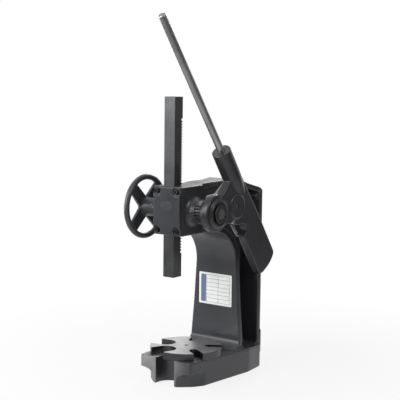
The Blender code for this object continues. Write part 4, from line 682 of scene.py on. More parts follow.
def frontFlange():
    s = frameSizes
    face, low, high = s.columnFace, s.footRadius, s.throatRadius
    foot, throat = (face - low, s.baseHeight + low), (face - high, s.headBottom - high)
    stations = []

    def bend(centre, points, halfAt):
        for y, z in points:
            away = Vector((y - centre[0], z - centre[1])).normalized()
            stations.append((y, z, away.x, away.y, halfAt(y, z)))

    bend(foot, arc(foot, low, -pi / 2, 0.0, 8), lambda y, z: frontHalf(z))
    for i in range(1, 8):
        z = foot[1] + (throat[1] - foot[1]) * i / 8
        stations.append((face, z, 1.0, 0.0, frontHalf(z)))
    bend(throat, arc(throat, high, 0.0, pi / 2, 24), lambda y, z: throatHalf(y))
    stations.append((s.headRear - 6.0, s.headBottom + 1.0, 0.0, 1.0, throatHalf(s.headRear)))
    return flangeSolid(stations, s.frontThick)


def backPath():
    s = frameSizes
    back, start, top = s.columnBack, s.dropStart, s.headTop
    path = [(back, s.baseRear / 2), (back, s.backMiddle), (back, s.headBottom)]
    path += [(start + (back - start) * run, top - s.drop * fall) for run, fall in reversed(s.falls)]
    path += [(s.spreadStart, top)] + [(y, top - sink) for y, sink in s.topLine]
    return path + [(s.headRear - 14.0, top - s.headSink)]


def backFlange():
    s = frameSizes
    path = backPath()
    stations = []
    for i, (y, z) in enumerate(path):
        here = Vector((y, z))
        before = here - Vector(path[max(i - 1, 0)])
        after = Vector(path[min(i + 1, len(path) - 1)]) - here
        before = before if before.length else after
        after = after if after.length else before
        mitre = (before.normalized() + after.normalized()).normalized() / cos(before.angle(after) / 2)
        t = min(max((y - s.spreadStart) / (s.columnBack - s.spreadStart), 0.0), 1.0)
        stations.append((y, z, -mitre.y, mitre.x, (s.topNarrow + (s.backWide - s.topNarrow) * t) / 2))
    return flangeSolid(stations, s.backThick)


def webSolid():
    s = frameSizes
    face, radius, bury = s.columnFace, s.throatRadius, s.bury
    inner, half = s.backThick / 2, s.webThick / 2
    outline = [(y - inner, z - inner) for y, z in backPath()]
    outline.append((outline[-1][0], s.headBottom + bury))
    outline += arc((face - radius, s.headBottom - radius), radius + bury, pi / 2, 0.0, 16)
    outline.append((face + bury, s.baseRear / 2))
    return prismSolid(outline, "X", -half, half)


# The round inner corners of the side pockets, each a prism with one hollow side
def pocketCorner(y, z, alongY, alongZ, half):
    radius, root = frameSizes.pocketRadius, frameSizes.pocketRoot
    centre = (y + alongY * radius, z + alongZ * radius)
    start = -pi / 2 * alongZ
    outline = [(y - alongY * root, z - alongZ * root), (centre[0], z - alongZ * root)]
    outline += arc(centre, radius, start, start - pi / 2 * alongY * alongZ, 6)
    outline.append((y - alongY * root, centre[1]))
    return prismSolid(outline, "X", -half, half)


def headSolid():
    s = frameSizes
    front, bottom, top, half = s.headFront, s.headBottom, s.headTop, s.headWidth / 2
    long, tall = s.headRear - front, top - bottom
    outline = [(front, bottom)] + [(front + long * length, bottom + tall * up) for up, length in s.headOutline]
    return prismSolid(outline + [(front, top - s.headSink)], "X", -half, half)


def bossSolid(side, length, radius, root):
    profile = [(-side * 8.0, radius + root)]
    for i in range(7):
        angle = pi / 2 * i / 6
        profile.append((side * root * (1.0 - cos(angle)), radius + root * (1.0 - sin(angle))))
    profile += [(side * (length - 2.0), radius), (side * length, radius - 2.0)]
    return turnedSolid(profile, (side * frameSizes.headWidth / 2, pinionY, pinionZ), sides=72)


def makeFrame():
    s = frameSizes
    back, front = s.baseBack, s.baseFront
    parts = [baseSolid(), frontFlange(), backFlange(), webSolid(), headSolid()]
    parts += [bossSolid(*boss) for boss in s.bosses]
    pad = rectangle(-s.padHalf, s.padHalf, 60, back + s.padThick)
    parts.append(prismSolid(pad, "Z", s.padLow, s.padHigh))
    inner = {"front": (s.columnFace + s.frontThick, 1), "back": (s.columnBack - s.backThick, -1)}
    for flange, z, up, half in s.pockets:
        y, along = inner[flange]
        parts.append(pocketCorner(y, z, along, up, half))
    cast = castPiece("cast_frame", parts, s.voxel, s.softening, s.keep)
    markWear(cast, s.wear)
    cast.data.materials.append(finishes["frame_paint"])
    # the cuts run past the casting wherever they may
    wide, half = 200, s.channelHalf
    cuts = {
        "ram channel": prismSolid(rectangle(-half, half, -370, s.channelBack), "Z", 500, 700),
        "shaft bore": roundSolid(-130, 120, s.bore, sides=72),
        "head face": prismSolid(rectangle(-70, 70, -380, s.headFace), "Z", 510, 700),
        "base floor": prismSolid(rectangle(-wide, wide, -450, 200), "Z", -40, 0.0),
        "base seat": prismSolid(rectangle(-wide, wide, -450, s.seatEnd), "Z", s.baseHeight, 100),
        "base front": prismSolid(rectangle(-wide, wide, front - 40, front), "Z", -20, 120),
    }
    # the base front takes the iron with the painted light falloff
    bare = {"base front": "frontIronLightFalloff"}
    combined(cast, [machinedCutter(name, part, "frame_paint", bare.get(name, "machinedIron"))
                    for name, part in cuts.items()])
    return finishPiece(cast, "frame", "frame_paint", "frame_casting", smooth=38.0, machined=True)


# The cap that closes the ram's channel, its corners sunk round the screws

capSizes = Sizes(
    width=113, height=167.4, thick=14, middle=604.5, back=-352,
    notchDepth=6, notchRadius=15, spacingX=82, spacingZ=134, step=3,
    padWide=24, padTall=15, padRise=18, padHeight=0.7,
    voxel=1.15, softening=5, keep=0.5, wear=4,
)


# The raised middle's edge round one screw, from the level edge to the upright one
def capHollow(x, z, steps=14):
    s = capSizes
    half, tall, radius = s.width / 2, s.height / 2 - s.step, s.notchRadius
    centreX, centreZ = s.spacingX / 2, s.spacingZ / 2
    first = acos(max(min((tall - centreZ) / radius, 1.0), -1.0)) + pi / 2
    last = 2 * pi - acos(max(min((half - centreX) / radius, 1.0), -1.0))
    return [(x * min(u, half), s.middle + z * min(v, tall))
            for u, v in arc((centreX, centreZ), radius, first, last, steps)]


def makeCap():
    s = capSizes
    half, tall, middle, front = s.width / 2, s.height / 2, s.middle, s.back - s.thick
    ring = capHollow(1, 1)[::-1] + capHollow(-1, 1) + capHollow(-1, -1)[::-1] + capHollow(1, -1)
    parts = [
        prismSolid(rectangle(-half, half, middle - tall, middle + tall), "Y", front + s.notchDepth, s.back),
        prismSolid(ring, "Y", front, s.back - 2.0),
    ]
    cap = castPiece("cast_cap", parts, s.voxel, s.softening, s.keep)
    markWear(cap, s.wear)
    # a blank oval pad, raised a little, in the middle of the upper half
    pad = roundedOutline(rectangle(-s.padWide, s.padWide, -s.padTall, s.padTall), s.padTall, 8)
    pad = [(x, middle + s.padRise + z) for x, z in pad]
    pad = solidObject("pad", prismSolid(pad, "Y", front - s.padHeight, front + 3.0))
    combined(cap, [pad], "UNION", "INDEX")
    return finishPiece(cap, "frame", "cap_paint", "ram_cap", smooth=38.0)


# The square ram: a bar with a rack of straight teeth down its back, and plain ends

ramY = -329.5
ramSizes = Sizes(
    Width=44.45, Low=375.2, Length=614.0,
    Pitch=9.9746, Tip=2.89, Root=7.63, Height=6.515, Teeth=45, First=466.54,
)


# An upright block between two levels
def postNodes(wide, deep, y, low, high):
    place = vector(0.0, y, (low + high) / 2.0)
    return blockNodes(vector(wide, deep, high - low), place)


def makeRam():
    s = ramSizes
    given = startTree("ramRack", s)
    width, height, low, first, pitch = (given[key] for key in ("Width", "Height", "Low", "First", "Pitch"))
    thick = width - 0.1
    tooth = wedgeNodes(given.Root, given.Tip, height, thick)
    middle = width / 2.0 - height / 2.0
    tooth = moved(tooth, vector(thick / 2.0, middle), (0.0, -pi / 2, 0.0))
    teeth = repeated(lineNodes(given.Teeth, rise(first), rise(pitch)), tooth)
    high = low + given.Length
    bar = postNodes(width, width - height, height / -2.0, low, high)
    rackHigh = first + pitch * given.Teeth
    ends = [postNodes(thick, thick, 0.0, low, first - pitch),
            postNodes(thick, thick, 0.0, rackHigh, high)]
    ram = grow("ram_bar", s, joined(bar, teeth, *ends), "ram_steel")
    ram.data.transform(Matrix.Translation((0.0, ramY, 0.0)))
    return finishPiece(ram, "ram", "ram_steel", "ram", bevel=0.8, smooth=25.0)


# The four screws that hold the cap: round heads with a grip pattern and a six-sided socket

capScrewY = -364.9
capScrewSizes = Sizes(Head=8.0, Tall=9.6, Ribs=28, Rib=0.55, Socket=4.4, Deep=5.0)


def makeCapScrews():
    s, cap = capScrewSizes, capSizes
    given = startTree("capScrews", s)
    head, tall = given.Head, given.Tall
    socket = cylinderNodes(6, given.Socket, given.Deep * 2.0)
    socket = moved(socket, rise(tall / 2.0))
    solid = cylinderNodes(40, head, tall)
    cut = geo("MeshBoolean", {"Mesh 1": solid, "Mesh 2": socket}, operation="DIFFERENCE")
    rib = cylinderNodes(6, given.Rib, tall * 0.8)
    rib = moved(rib, vector(head - 0.15))
    screw = joined(cut, aroundNodes(rib, given.Ribs))
    screw = moved(screw, turn=(pi / 2, 0.0, 0.0))
    places = [(x * cap.spacingX / 2, capScrewY, cap.middle + z * cap.spacingZ / 2)
              for z in (1, -1) for x in (-1, 1)]
    four = repeated(joined(*(lineNodes(start=place) for place in places)), screw)
    screws = grow("cap_screw_set", s, four, "cap_screw_steel")
    nodes = [f"cap_screw_{i}" for i in range(1, 5)]
    return finishPiece(screws, "frame", "cap_screw_steel", *nodes, bevel=0.35)


# The ratchet wheel: a disc with sloping teeth instanced round it

ratchetX = 87.6
ratchetSizes = Sizes(
    Root=36.5, Tip=42.0, Land=0.0576, Pitch=0.2618, Teeth=24, Wide=26.0,
    Start=1.0821, Sink=1.5,
)


def makeRatchet():
    s = ratchetSizes
    given = startTree("ratchetTeeth", s)
    tip, wide, inner = given.Tip, given.Wide, given.Root - given.Sink
    corners = toothCorners((inner, 0.0), (tip, 0.0), (tip, given.Land), (inner, given.Pitch))
    teeth = aroundNodes(slabNodes("POINTS", corners, wide), given.Teeth, given.Start)
    disc = moved(cylinderNodes(72, given.Root, wide), rise(wide / 2.0))
    wheel = grow("ratchet_teeth", s, joined(disc, teeth), "ratchet_steel")
    standOnShaft(wheel, ratchetX)
    return finishPiece(wheel, "pinion", "ratchet_steel", "ratchet_wheel", bevel=0.5, smooth=30.0)


# The pinion shaft: a turned bar with the pinion's teeth instanced round its middle

shaftSizes = Sizes(
    Radius=19.05, Left=-163.5, Long=338.8, Chamfer=2.0,
    Teeth=14, Tip=25.4, Inner=18.2, Face=50.0, TipHalf=0.050, RootHalf=0.150,
)


def makeShaft():
    s = shaftSizes
    given = startTree("pinionTeeth", s)
    inner, tip, root, land = (given[key] for key in ("Inner", "Tip", "RootHalf", "TipHalf"))
    radius, long, chamfer = given.Radius, given.Long, given.Chamfer
    corners = toothCorners((inner, root * -1.0), (tip, land * -1.0), (tip, land), (inner, root))
    teeth = aroundNodes(slabNodes("POINTS", corners, given.Face), given.Teeth)
    teeth = moved(teeth, rise(given.Face / -2.0))
    bar = joined(cylinderNodes(72, radius, long - chamfer * 2.0),
                 cylinderNodes(72, radius - chamfer, long))
    bar = moved(bar, rise(given.Left + long / 2.0))
    shaft = grow("pinion_bar", s, joined(bar, teeth), "pinion_steel")
    standOnShaft(shaft, 0.0)
    return finishPiece(shaft, "pinion", "pinion_steel", "pinion_shaft", bevel=0.4, smooth=30.0)


# The handwheel: rim, spokes and hub grown together, then softened like a casting

wheelX, wheelBore = -152.4, 19.4
wheelSkin = (1.7, 7, 0.5)  # voxel, softening and the share of faces kept
wheelSizes = Sizes(
    Middle=103.6, Rim=10.2, Spokes=4, HubWide=50.0, RimWide=39.0, Thick=11.0,
    Hub=32.5, HubLong=62.0, RimFromBoss=52.4,
)


def makeHandwheel():
    s = wheelSizes
    given = startTree("handwheelBody", s)
    middle, thick, long = given.Middle, given.Thick, given.HubLong
    rim = tubeNodes(circleNodes(96, middle), circleNodes(24, given.Rim))
    spoke = wedgeNodes(given.HubWide, given.RimWide, middle, thick)
    spoke = moved(spoke, vector(0.0, middle / 2.0, thick / -2.0))
    spokes = aroundNodes(spoke, given.Spokes, pi / 4)
    shift = given.RimFromBoss - (long / 2.0 + 0.3)
    hub = moved(cylinderNodes(64, given.Hub, long), rise(shift))
    wheel = grow("handwheel_cast", s, joined(rim, spokes, hub), "handwheel_paint")
    skinned(wheel, *wheelSkin)
    standOnShaft(wheel, wheelX)
    markWear(wheel, 2.5)
    combined(wheel, [solidObject("wheel bore", roundSolid(-200, -90, wheelBore))])
    return finishPiece(wheel, "pinion", "handwheel_paint", "handwheel", smooth=40.0)


# The lever: round arm, hub, plate and counterweight in one casting

leverSizes = Sizes(
    lean=radians(35.5), rodSet=radians(1.2),
    armOffset=141.5, armRadius=33, armTop=156, taperStart=-56, taperEnd=62, flat=15.6,
    plateIn=134.7, plateOut=166.7, plateBack=181, plateShare=0.34, backEnd=185,
    reach=356, top=163, front=66, corner=14, endDrop=26, notch=20,
    # shares of the hub's radius, and of the notch between hub and counterweight
    hubEdge=((-0.62, 0.88), (-0.6, 0.3), (0.8, -0.2), (0.95, 0.3)),
    notchEdge=((0.62, -0.56), (0.79, 1.4), (0.975, 1.3), (1, 0.3)),
    hubStart=113.9, hubRadius=64, hubLong=54, hubStep=8, ring=47, collar=50,
    bossAlong=46, bossAcross=92, bossRadius=42, shaftBore=23.3, pinBore=9.3,
    recess=((164, 20), (164, 35.5), (167.9, 38.5), (172, 38.5), (172, 20)),
    rodBore=13, rodDepth=90.3, facing=42, socketRim=((-3, 28.6), (-3, 42), (1.8, 42), (1.8, 33.4)),
    voxel=2, softening=9, keep=0.45, wear=3.5,
)


def onLever(along, across):
    lean = leverSizes.lean
    return (pinionY + along * sin(lean) + across * cos(lean),
            pinionZ - along * cos(lean) + across * sin(lean))


def alongLever(extra=0.0):
    lean = leverSizes.lean + extra
    return (0.0, sin(lean), -cos(lean))


def armStart():
    s = leverSizes
    return ((s.plateIn + s.plateOut) / 2, *onLever(-s.armTop, s.armOffset))


def pawlEye():
    return (0.0, *onLever(leverSizes.bossAlong, leverSizes.bossAcross))


def leverPlate():
    s = leverSizes
    hub, front, reach, top, corner, back, drop = (
        s[key] for key in ("hubRadius", "front", "reach", "top", "corner", "plateBack", "endDrop"))
    armEnd, armBack = -s.armTop * s.plateShare, s.armOffset + s.armRadius
    points = [(armEnd, s.armOffset - s.armRadius * 0.6)]
    points += [(hub * a, hub * b) for a, b in s.hubEdge]
    points += [(top * a, front + s.notch * b) for a, b in s.notchEdge]
    points += [
        (top + 32.0, front), (reach - corner, front), (reach - corner * 0.3, front + corner),
        (reach, (front + back) / 2), (reach - corner * 0.3, back - drop),
        (reach - corner, back - corner * 0.3), (reach - drop, back),
        (s.backEnd, back), (s.armTop * 0.2, armBack + 1.6), (armEnd, armBack - 0.5),
    ]
    outline = roundedOutline(points, 10.0, 4)
    return prismSolid([onLever(a, c) for a, c in outline], "X", s.plateIn, s.plateOut)


# The round arm, which flattens into the plate's thickness
def armSolid(sides=64, steps=12):
    s = leverSizes
    start, forward, side = Vector(armStart()), Vector(alongLever()), Vector((1.0, 0.0, 0.0))
    up, radius = forward.cross(side), s.armRadius
    rings = []
    for i in range(-1, steps + 1):
        share = max(i, 0) / steps
        distance = s.armTop + s.taperStart + (s.taperEnd - s.taperStart) * share if i >= 0 else -12.0
        wide = radius + (s.flat - radius) * share * share * (3.0 - 2.0 * share)
        angles = [2 * pi * k / sides for k in range(sides)]
        rings.append([start + forward * distance + side * wide * cos(a) + up * radius * sin(a)
                      for a in angles])
    return loftSolid(rings)


def makeLever():
    s = leverSizes
    long, radius, ring, collar, bossRadius = s.hubLong, s.hubRadius, s.ring, s.collar, s.bossRadius
    shoulder = long - s.hubStep
    hub = [(0.0, collar), (9.0, collar), (13.0, collar + 3.0), (18.0, radius), (shoulder - 4.0, radius),
           (shoulder, radius - 4.0), (shoulder, ring + 2.0), (long - 1.0, ring), (long + 1.0, ring - 2.0)]
    boss = [(113.3, 20.0), (132.0, 20.0), (136.0, bossRadius), (168.6, bossRadius), (169.7, bossRadius - 1.2)]
    parts = [leverPlate(), armSolid(), turnedSolid(hub, (s.hubStart, pinionY, pinionZ), sides=96),
             turnedSolid(boss, pawlEye(), sides=72)]
    lever = castPiece("cast_lever", parts, s.voxel, s.softening, s.keep)
    markWear(lever, s.wear)
    arm, axis = armStart(), alongLever()
    cuts = [
        roundSolid(100, 180, s.shaftBore),
        roundSolid(100, 180, s.pinBore, pawlEye(), sides=40),
        roundSolid(-5, s.rodDepth, s.rodBore, arm, alongLever(s.rodSet), 48),
        turnedSolid(s.recess, sides=72, closed=True),
        turnedSolid(s.socketRim, arm, axis, closed=True),
    ]
    cutters = [solidObject("lever cut", cut) for cut in cuts]
    facing = roundSolid(-20.0, 0.25, s.facing, arm, axis)
    cutters.append(machinedCutter("socket face", facing, "lever_paint", "socketIron"))
    lever.data.materials.append(finishes["lever_paint"])
    combined(lever, cutters)
    return finishPiece(lever, "lever", "lever_paint", "lever_casting", smooth=38.0, machined=True)


# The steel rod that is pulled, set a little off the arm's line

rodSizes = Sizes(top=-548.7, round=6, radius=12.7, end=90)


def makeRod():
    top, curve, radius = rodSizes.top, rodSizes.round, rodSizes.radius
    flat = radius - curve
    profile = [(top, flat)]
    profile += [(top + curve - curve * cos(a), flat + curve * sin(a)) for a in (0.4, 0.8, 1.2, 1.57)]
    profile.append((rodSizes.end, radius))
    rod = solidObject("lever_bar", turnedSolid(profile, armStart(), alongLever(leverSizes.rodSet)))
    return finishPiece(rod, "lever", "rod_steel", "lever_rod")


# The pawl: nose, finger and tail about its eye, rounded off

pawlSizes = Sizes(
    wide=24, x=88.6, eye=21, finger=(35, 72), fingerRadius=11, tail=(15, -55),
    tailRadius=9, lift=radians(7), contact=radians(62), noseDepth=13,
    tipClear=1.3, toothClear=3, brow=(-1.35, 1.9), front=39.6, low=230.4, back=190.8,
)


# An arm's round end, about a point seen from the eye
def pawlEnd(eye, arm, radius, steps):
    start = atan2(arm[1], arm[0]) + pi / 2
    return arc(eye + Vector(arm), radius, start, start - pi, steps)


def makePawl():
    s = pawlSizes
    eye, centre, clear = Vector(pawlEye()[1:]), Vector((pinionY, pinionZ)), s.tipClear
    radial = Vector((cos(s.contact), sin(s.contact)))
    along = Vector((-radial.y, radial.x))
    low = centre + radial * (ratchetSizes.Root + clear) - along * clear
    high = low + radial * s.noseDepth
    slope = s.contact - ratchetSizes.Pitch
    heel = centre + Vector((cos(slope), sin(slope))) * (ratchetSizes.Tip + s.toothClear)
    lift = Matrix.Rotation(-s.lift, 2)
    low, high, heel = (eye + lift @ (p - eye) for p in (low, high, heel))
    front = radians(s.front)
    points = [tuple(low), tuple(high), tuple(eye + Vector(s.brow) * s.eye)]
    points += pawlEnd(eye, s.finger, s.fingerRadius, 14) + arc(eye, s.eye, front, -front, 12)
    points += pawlEnd(eye, s.tail, s.tailRadius, 12)
    points += arc(eye, s.eye, radians(s.low), radians(s.back), 6) + [tuple(heel)]
    pawl = solidObject("pawl_forging", prismSolid(points, "X", s.x, s.x + s.wide))
    hole = roundSolid(60, 130, leverSizes.pinBore, pawlEye(), sides=40)
    combined(pawl, [solidObject("pawl eye", hole)])
    return finishPiece(pawl, "pawl", "pawl_steel", "pawl", bevel=1.4, bevelSegments=3)


# The coil spring that holds the pawl in or out, with a hook round each post

springSizes = Sizes(Coil=5.0, Wire=0.9, Curls=22.0, Lead=7.5, Hook=3.9)
springPlaces = Sizes(x=123.65, post=(15.0, -55.0), anchor=(67.0, -112.0))


def springEnd(which, x=0.0):
    _, y, z = pawlEye()
    across, up = springPlaces[which]
    return (x, y + across, z + up)


def makeSpring():
    lead, wide = springSizes.Lead, springSizes.Coil
    first, second = (Vector(springEnd(which, springPlaces.x)) for which in ("post", "anchor"))
    forward = (second - first).normalized()
    length = (second - first).length - 2 * lead
    s = {**springSizes, "Long": length}
    given = startTree("springCoil", s)
    coil = geo("CurveSpiral", {"Resolution": 20, "Rotations": given.Curls, "Start Radius": given.Coil,
                               "End Radius": given.Coil, "Height": given.Long})
    section = circleNodes(10, given.Wire)
    shapes = [tubeNodes(coil, section, True)]
    for base, toward, end in ((-lead, 3.4, 0.0), (length + lead, -3.4, length)):
        hook = tubeNodes(circleNodes(24, given.Hook), section)
        shapes.append(moved(hook, (0.0, 0.0, base), (pi / 2, 0.0, 0.0)))
        stem = geo("CurvePrimitiveLine", {"Start": (0.0, 0.0, base + toward), "End": (wide, 0.0, end)})
        shapes.append(tubeNodes(stem, section, True))
    spring = grow("pawl_coil", s, joined(*shapes), "spring_steel")
    side = Vector((1, 0, 0))
    place = Matrix((forward.cross(side), side, forward)).transposed().to_4x4()
    if place.determinant() < 0:
        place = Matrix((side.cross(forward), side, forward)).transposed().to_4x4()
    spring.data.transform(Matrix.Translation(first + forward * lead) @ place)
    return finishPiece(spring, "pawl", "spring_steel", "pawl_spring", smooth=60.0)


# Pins, posts, collars and sleeves, all turned: piece, node, body, slot, profile, centre, axis,
# number of sides and bore

turnedPieces = (
    ("washer", "thrust_washer", "pinion", "washer_steel", ((84.3, 30), (87.3, 30)), shaftLine, "X", 72, 19.4),
    ("collar", "end_collar", "pinion", "collar_steel",
     ((168.2, 31.5), (168.8, 32), (173, 32), (174.2, 30.8)), shaftLine, "X", 72, 19.3),
    ("lever_sleeve", "lever_bushing", "lever", "bronze", ((113.9, 23), (167.9, 23)), shaftLine, "X", 64, 19.35),
    ("left_sleeve", "left_bushing", "frame", "bronze", ((-99.7, 27), (-29, 27)), shaftLine, "X", 64, 19.35),
    ("right_sleeve", "right_bushing", "frame", "bronze", ((29, 27), (83.7, 27)), shaftLine, "X", 64, 19.35),
    ("pawl_axle", "pawl_pin", "lever", "pin_steel",
     ((85.3, 14), (88.3, 14), (88.3, 9), (167.7, 9)), pawlEye(), "X", 48, None),
    # The spring's two pegs wear the bright screw steel so that they show in the shade under the hub: painted light
    ("spring_peg", "spring_post", "pawl", "bright_screw_steel",
     ((102.6, 3), (121.6, 3)), springEnd("post"), "X", 48, None),
    ("anchor_peg", "spring_anchor", "lever", "bright_screw_steel",
     ((125.7, 3), (144.7, 3)), springEnd("anchor"), "X", 48, None),
    ("table_stud", "table_pin", "frame", "pin_steel",
     ((52, 7), (114.4, 7), (115.3, 6.1)), tableAxis, "Z", 48, None),
)


def makeTurnedPieces():
    for name, node, body, slot, *shape in turnedPieces:
        finishPiece(solidObject(name, turnedSolid(*shape)), body, slot, node, bevel=0.3)


# Round heads with a six-sided socket: the pawl's stop screw and the screw that grips the rod

screwSizes = Sizes(
    stopPlace=(71, 40.5), stop=((134.7, 4), (167, 4), (167, 7), (173, 7)),
    stopSocket=((169.5, 3.6), (178, 3.6)),
    gripDown=45, grip=((14.1, 5), (33.3, 5), (33.3, 8), (39, 8)),
    gripSocket=((36, 4.2), (45, 4.2)),
)


def socketScrew(name, profile, socket, centre, axis, slot, node):
    screw = solidObject(name, turnedSolid(profile, centre, axis, 48))
    combined(screw, [solidObject("socket", turnedSolid(socket, centre, axis, 6))])
    return finishPiece(screw, "lever", slot, node, bevel=0.4)


def makeScrews():
    s, lean = screwSizes, leverSizes.lean
    socketScrew("stop_screw", s.stop, s.stopSocket, (0.0, *onLever(*s.stopPlace)), "X",
                "bright_screw_steel", "pawl_stop_screw")
    start = Vector(armStart()) + Vector(alongLever()) * s.gripDown
    socketScrew("rod_grip_screw", s.grip, s.gripSocket, start, (0.0, cos(lean), sin(lean)),
                "set_screw_steel", "rod_screw")


# The turning table: a ground disc with five slots of different widths

tableSizes = Sizes(
    radius=127, low=92.3, thick=25, chamfer=1.4, hole=7.3, past=8,
    # each slot's direction in degrees, its width and the distance of its round end
    slots=((32.5, 30, 63), (112, 24, 65), (187.5, 72, 48), (250.5, 76, 50), (325.8, 33, 62)),
)


def makeTable():
    s = tableSizes
    low, high = s.low, s.low + s.thick
    middle = Vector(tableAxis[:2])
    disc = solidObject("table_disc", roundSolid(low, high, s.radius, tableAxis, "Z", 144))
    cutters = []
    for degrees, width, inner in s.slots:
        turn = radians(degrees)
        out = Vector((cos(turn), sin(turn)))
        half = Vector((-out.y, out.x)) * width / 2
        far = middle + out * (s.radius + s.past)
        outline = arc(middle + out * (inner + width / 2), width / 2, turn + pi / 2, turn + 3 * pi / 2, 24)
        outline += [tuple(far - half), tuple(far + half)]
        cutters.append(solidObject("slot", prismSolid(outline, "Z", low - 5, high + 5)))
    cutters.append(solidObject("hole", roundSolid(low - 5, high + 5, s.hole, tableAxis, "Z", 40)))
    combined(disc, cutters)
    return finishPiece(disc, "table", "table_steel", "table_plate", bevel=s.chamfer, bevelSegments=3)


# The blank record card: a ruled grid and a plain band on a pale ground

cardSizes = Sizes(
    Wide=143.0, Tall=115.0, Middle=291.0, Face=-73.6, Line=0.9,
    Rows=8, RowStep=14.2, FirstRow=-49.6, Share=0.88,
)
cardColumns = (-0.30, 0.10, 0.4965)
cardBandSize = (22.0, 50.0)


def makeCard():
    s = cardSizes
    half, tall, middle, face = s.Wide / 2, s.Tall / 2, s.Middle, s.Face
    outline = roundedOutline(rectangle(-half, half, middle - tall, middle + tall), 4.0)
    sheet = solidObject("card_sheet", prismSolid(outline, "Y", face + 0.25, -72.8))
    finishPiece(sheet, "frame", "card", "record_card", smooth=30.0)
    given = startTree("cardLines", s)
    line, first = given.Line, given.FirstRow
    wide = given.Wide * given.Share
    spots = lineNodes(given.Rows, rise(first), rise(given.RowStep))
    rows = repeated(spots, blockNodes(vector(wide, 0.12, line)))
    span = given.RowStep * (given.Rows - 1)
    centre = first + span / 2.0
    places = [lineNodes(start=vector(wide * share, 0.0, centre)) for share in cardColumns]
    columns = repeated(joined(*places), blockNodes(vector(line, 0.12, span)))
    grid = moved(joined(rows, columns), vector(0.0, given.Face, given.Middle))
    ruled = grow("card_ruling", s, grid, "cardInk")
    ruled.data.transform(Matrix.Translation((0.0, 0.13, 0.0)))
    finishPiece(ruled, "frame", "card", finish="cardInk", smooth=30.0)
    edge, (wide, tall) = -half * s.Share, cardBandSize
    band = roundedOutline(rectangle(edge, edge + wide, middle - tall, middle + tall), 3.0, 3)
    bands = solidObject("card_bands", prismSolid(band, "Y", face + 0.05, face + 0.3))
    finishPiece(bands, "frame", "card", finish="cardBand", smooth=30.0)


# Studio: pale floor, six soft lamps aimed at the press, white behind it and a dim room before it

studio = Sizes(
    cameraPlace=(2.3646, -3.4063, 1.1135), cameraLook=(-0.586, 0.8012, -0.1212),
    cameraUp=(-0.0815, 0.0905, 0.9926), lens=103.5, sensor=36.0,
    aim=(0.0, -0.15, 0.5),
    # each lamp's place, size and power
    lamps=dict(
        key=((-0.9, -3.2, 2.6), 2.2, 74.0),
        front=((0.1, -3.6, 1.0), 0.9, 24.0),
        side=((-2.6, -1.0, 0.8), 1.8, 45.0),
        left=((-2.0, -3.0, 1.5), 1.5, 24.0),
        back=((-1.2, 3.0, 2.3), 1.4, 40.0),
        fill=((3.0, -0.4, 2.4), 1.1, 28.0),
    ),
    ambient=0.27, floorShade=0.17, fade=(0.45, 1.3),
    backdropSide=(-0.55, 0.83, 0.0), roomFade=(0.28, 0.78), roomDim=0.15,
    ceilingFade=(0.2, 0.8), ceiling=0.85, lit=(0.5, 2.2), litTop=0.95,
)


def placeCamera():
    s = studio
    forward = Vector(s.cameraLook).normalized()
    right = forward.cross(Vector(s.cameraUp)).normalized()
    lens = bpy.data.cameras.new("photo camera")
    lens.lens, lens.sensor_width, lens.clip_end = s.lens, s.sensor, 50.0
    camera = looseObject("photo camera", lens)
    turn = Matrix((right, right.cross(forward), -forward)).transposed().to_4x4()
    camera.matrix_world = Matrix.Translation(s.cameraPlace) @ turn
    bpy.context.scene.camera = camera


def softLamp(name, place, size, power):
    lamp = bpy.data.lights.new(name, "AREA")
    lamp.shape, lamp.size, lamp.energy = "DISK", size, power
    made = looseObject(name, lamp)
    made.location = place
    made.rotation_euler = (Vector(studio.aim) - Vector(place)).to_track_quat("-Z", "Y").to_euler()


def raysSeen():
    rays = add("ShaderNodeLightPath")
    return rays["Is Camera Ray"], maths("MAXIMUM", rays["Is Glossy Ray"], rays["Is Transmission Ray"])


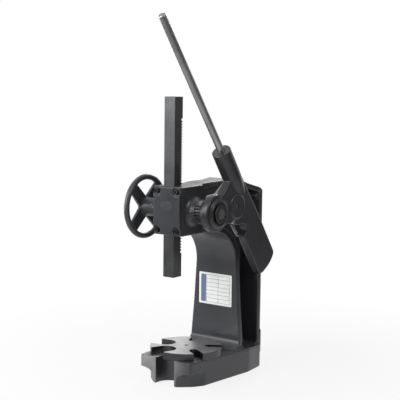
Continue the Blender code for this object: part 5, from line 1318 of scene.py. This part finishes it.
# White behind the object, where the camera looks; the room round the camera is dim in reflections
def whiteWorld():
    s = studio
    world = bpy.data.worlds.new("studio white")
    bpy.context.scene.world = world
    world.use_nodes = True
    back = useGraph(world.node_tree).nodes["Background"]
    place = add("ShaderNodeTexCoord")["Generated"]
    facing = add("ShaderNodeVectorMath", {0: place, 1: s.backdropSide}, operation="DOT_PRODUCT")["Value"]
    ceiling = spread(split(place)["Z"], *s.ceilingFade, 0.0, s.ceiling)
    room = spread(facing, *s.roomFade, s.roomDim, 1.0)
    camera, shine = raysSeen()
    seen = shine * maths("MAXIMUM", room, ceiling) + camera
    plain = 1.0 - maths("MAXIMUM", shine, camera)
    fill(back, {"Color": (1.0, 1.0, 1.0, 1.0), "Strength": seen + plain * s.ambient})


def paleFloor():
    s = studio
    material, shader, spot, _ = startMaterial("pale floor")
    grain = spread(noise(spot, 90.0, 3.0), 0.3, 0.7)
    fill(shader, {"Roughness": 0.9, "Base Color": mixColour(grain, (0.66, 0.66, 0.66), (0.70, 0.70, 0.70))})
    distance = add("ShaderNodeVectorMath", {0: spot}, operation="LENGTH")["Value"]
    far = spread(distance, *s.fade, 1.0 - s.floorShade, 1.0)
    lit = spread(distance, *s.lit, s.litTop, s.roomDim)
    camera, shine = raysSeen()
    glow = put("ShaderNodeEmission", {"Strength": maths("MAXIMUM", camera, lit)})
    share = maths("MAXIMUM", far * camera, shine)
    mix = put("ShaderNodeMixShader", {0: share, 1: shader.outputs["BSDF"], 2: glow})
    fill(graph.nodes["Material Output"], {"Surface": mix})
    floor = solidObject("floor", roundSolid(-0.02, 0.0, 6.0, origin, "Z", 96))
    floor.data.materials.append(material)


placeCamera()
for lampName, (place, size, power) in studio.lamps.items():
    softLamp(lampName, place, size, power)
whiteWorld()
paleFloor()
bpy.context.scene.view_settings.view_transform = "Standard"
print("studio ready")

stages = {
    "frame casting": (makeFrame,),
    "head": (makeCap, makeCapScrews, makeRam),
    "shaft pieces": (makeRatchet, makeHandwheel, makeShaft),
    "lever pieces": (makeLever, makeRod, makePawl, makeSpring),
    "small pieces": (makeTurnedPieces, makeScrews, makeTable, makeCard),
}
for stage, makers in stages.items():
    for make in makers:
        make()
    print(stage, "ready")

# The keys and the set screw keep their solids' shapes and only take a finish
frameFinishes = {"ratchet_key": "keySteel", "handwheel_key": "keySteel", "handwheel_set_screw": "set_screw_steel"}
for node, finish in frameFinishes.items():
    for slot in bpy.data.objects[node].material_slots:
        slot.material = finishes[finish]
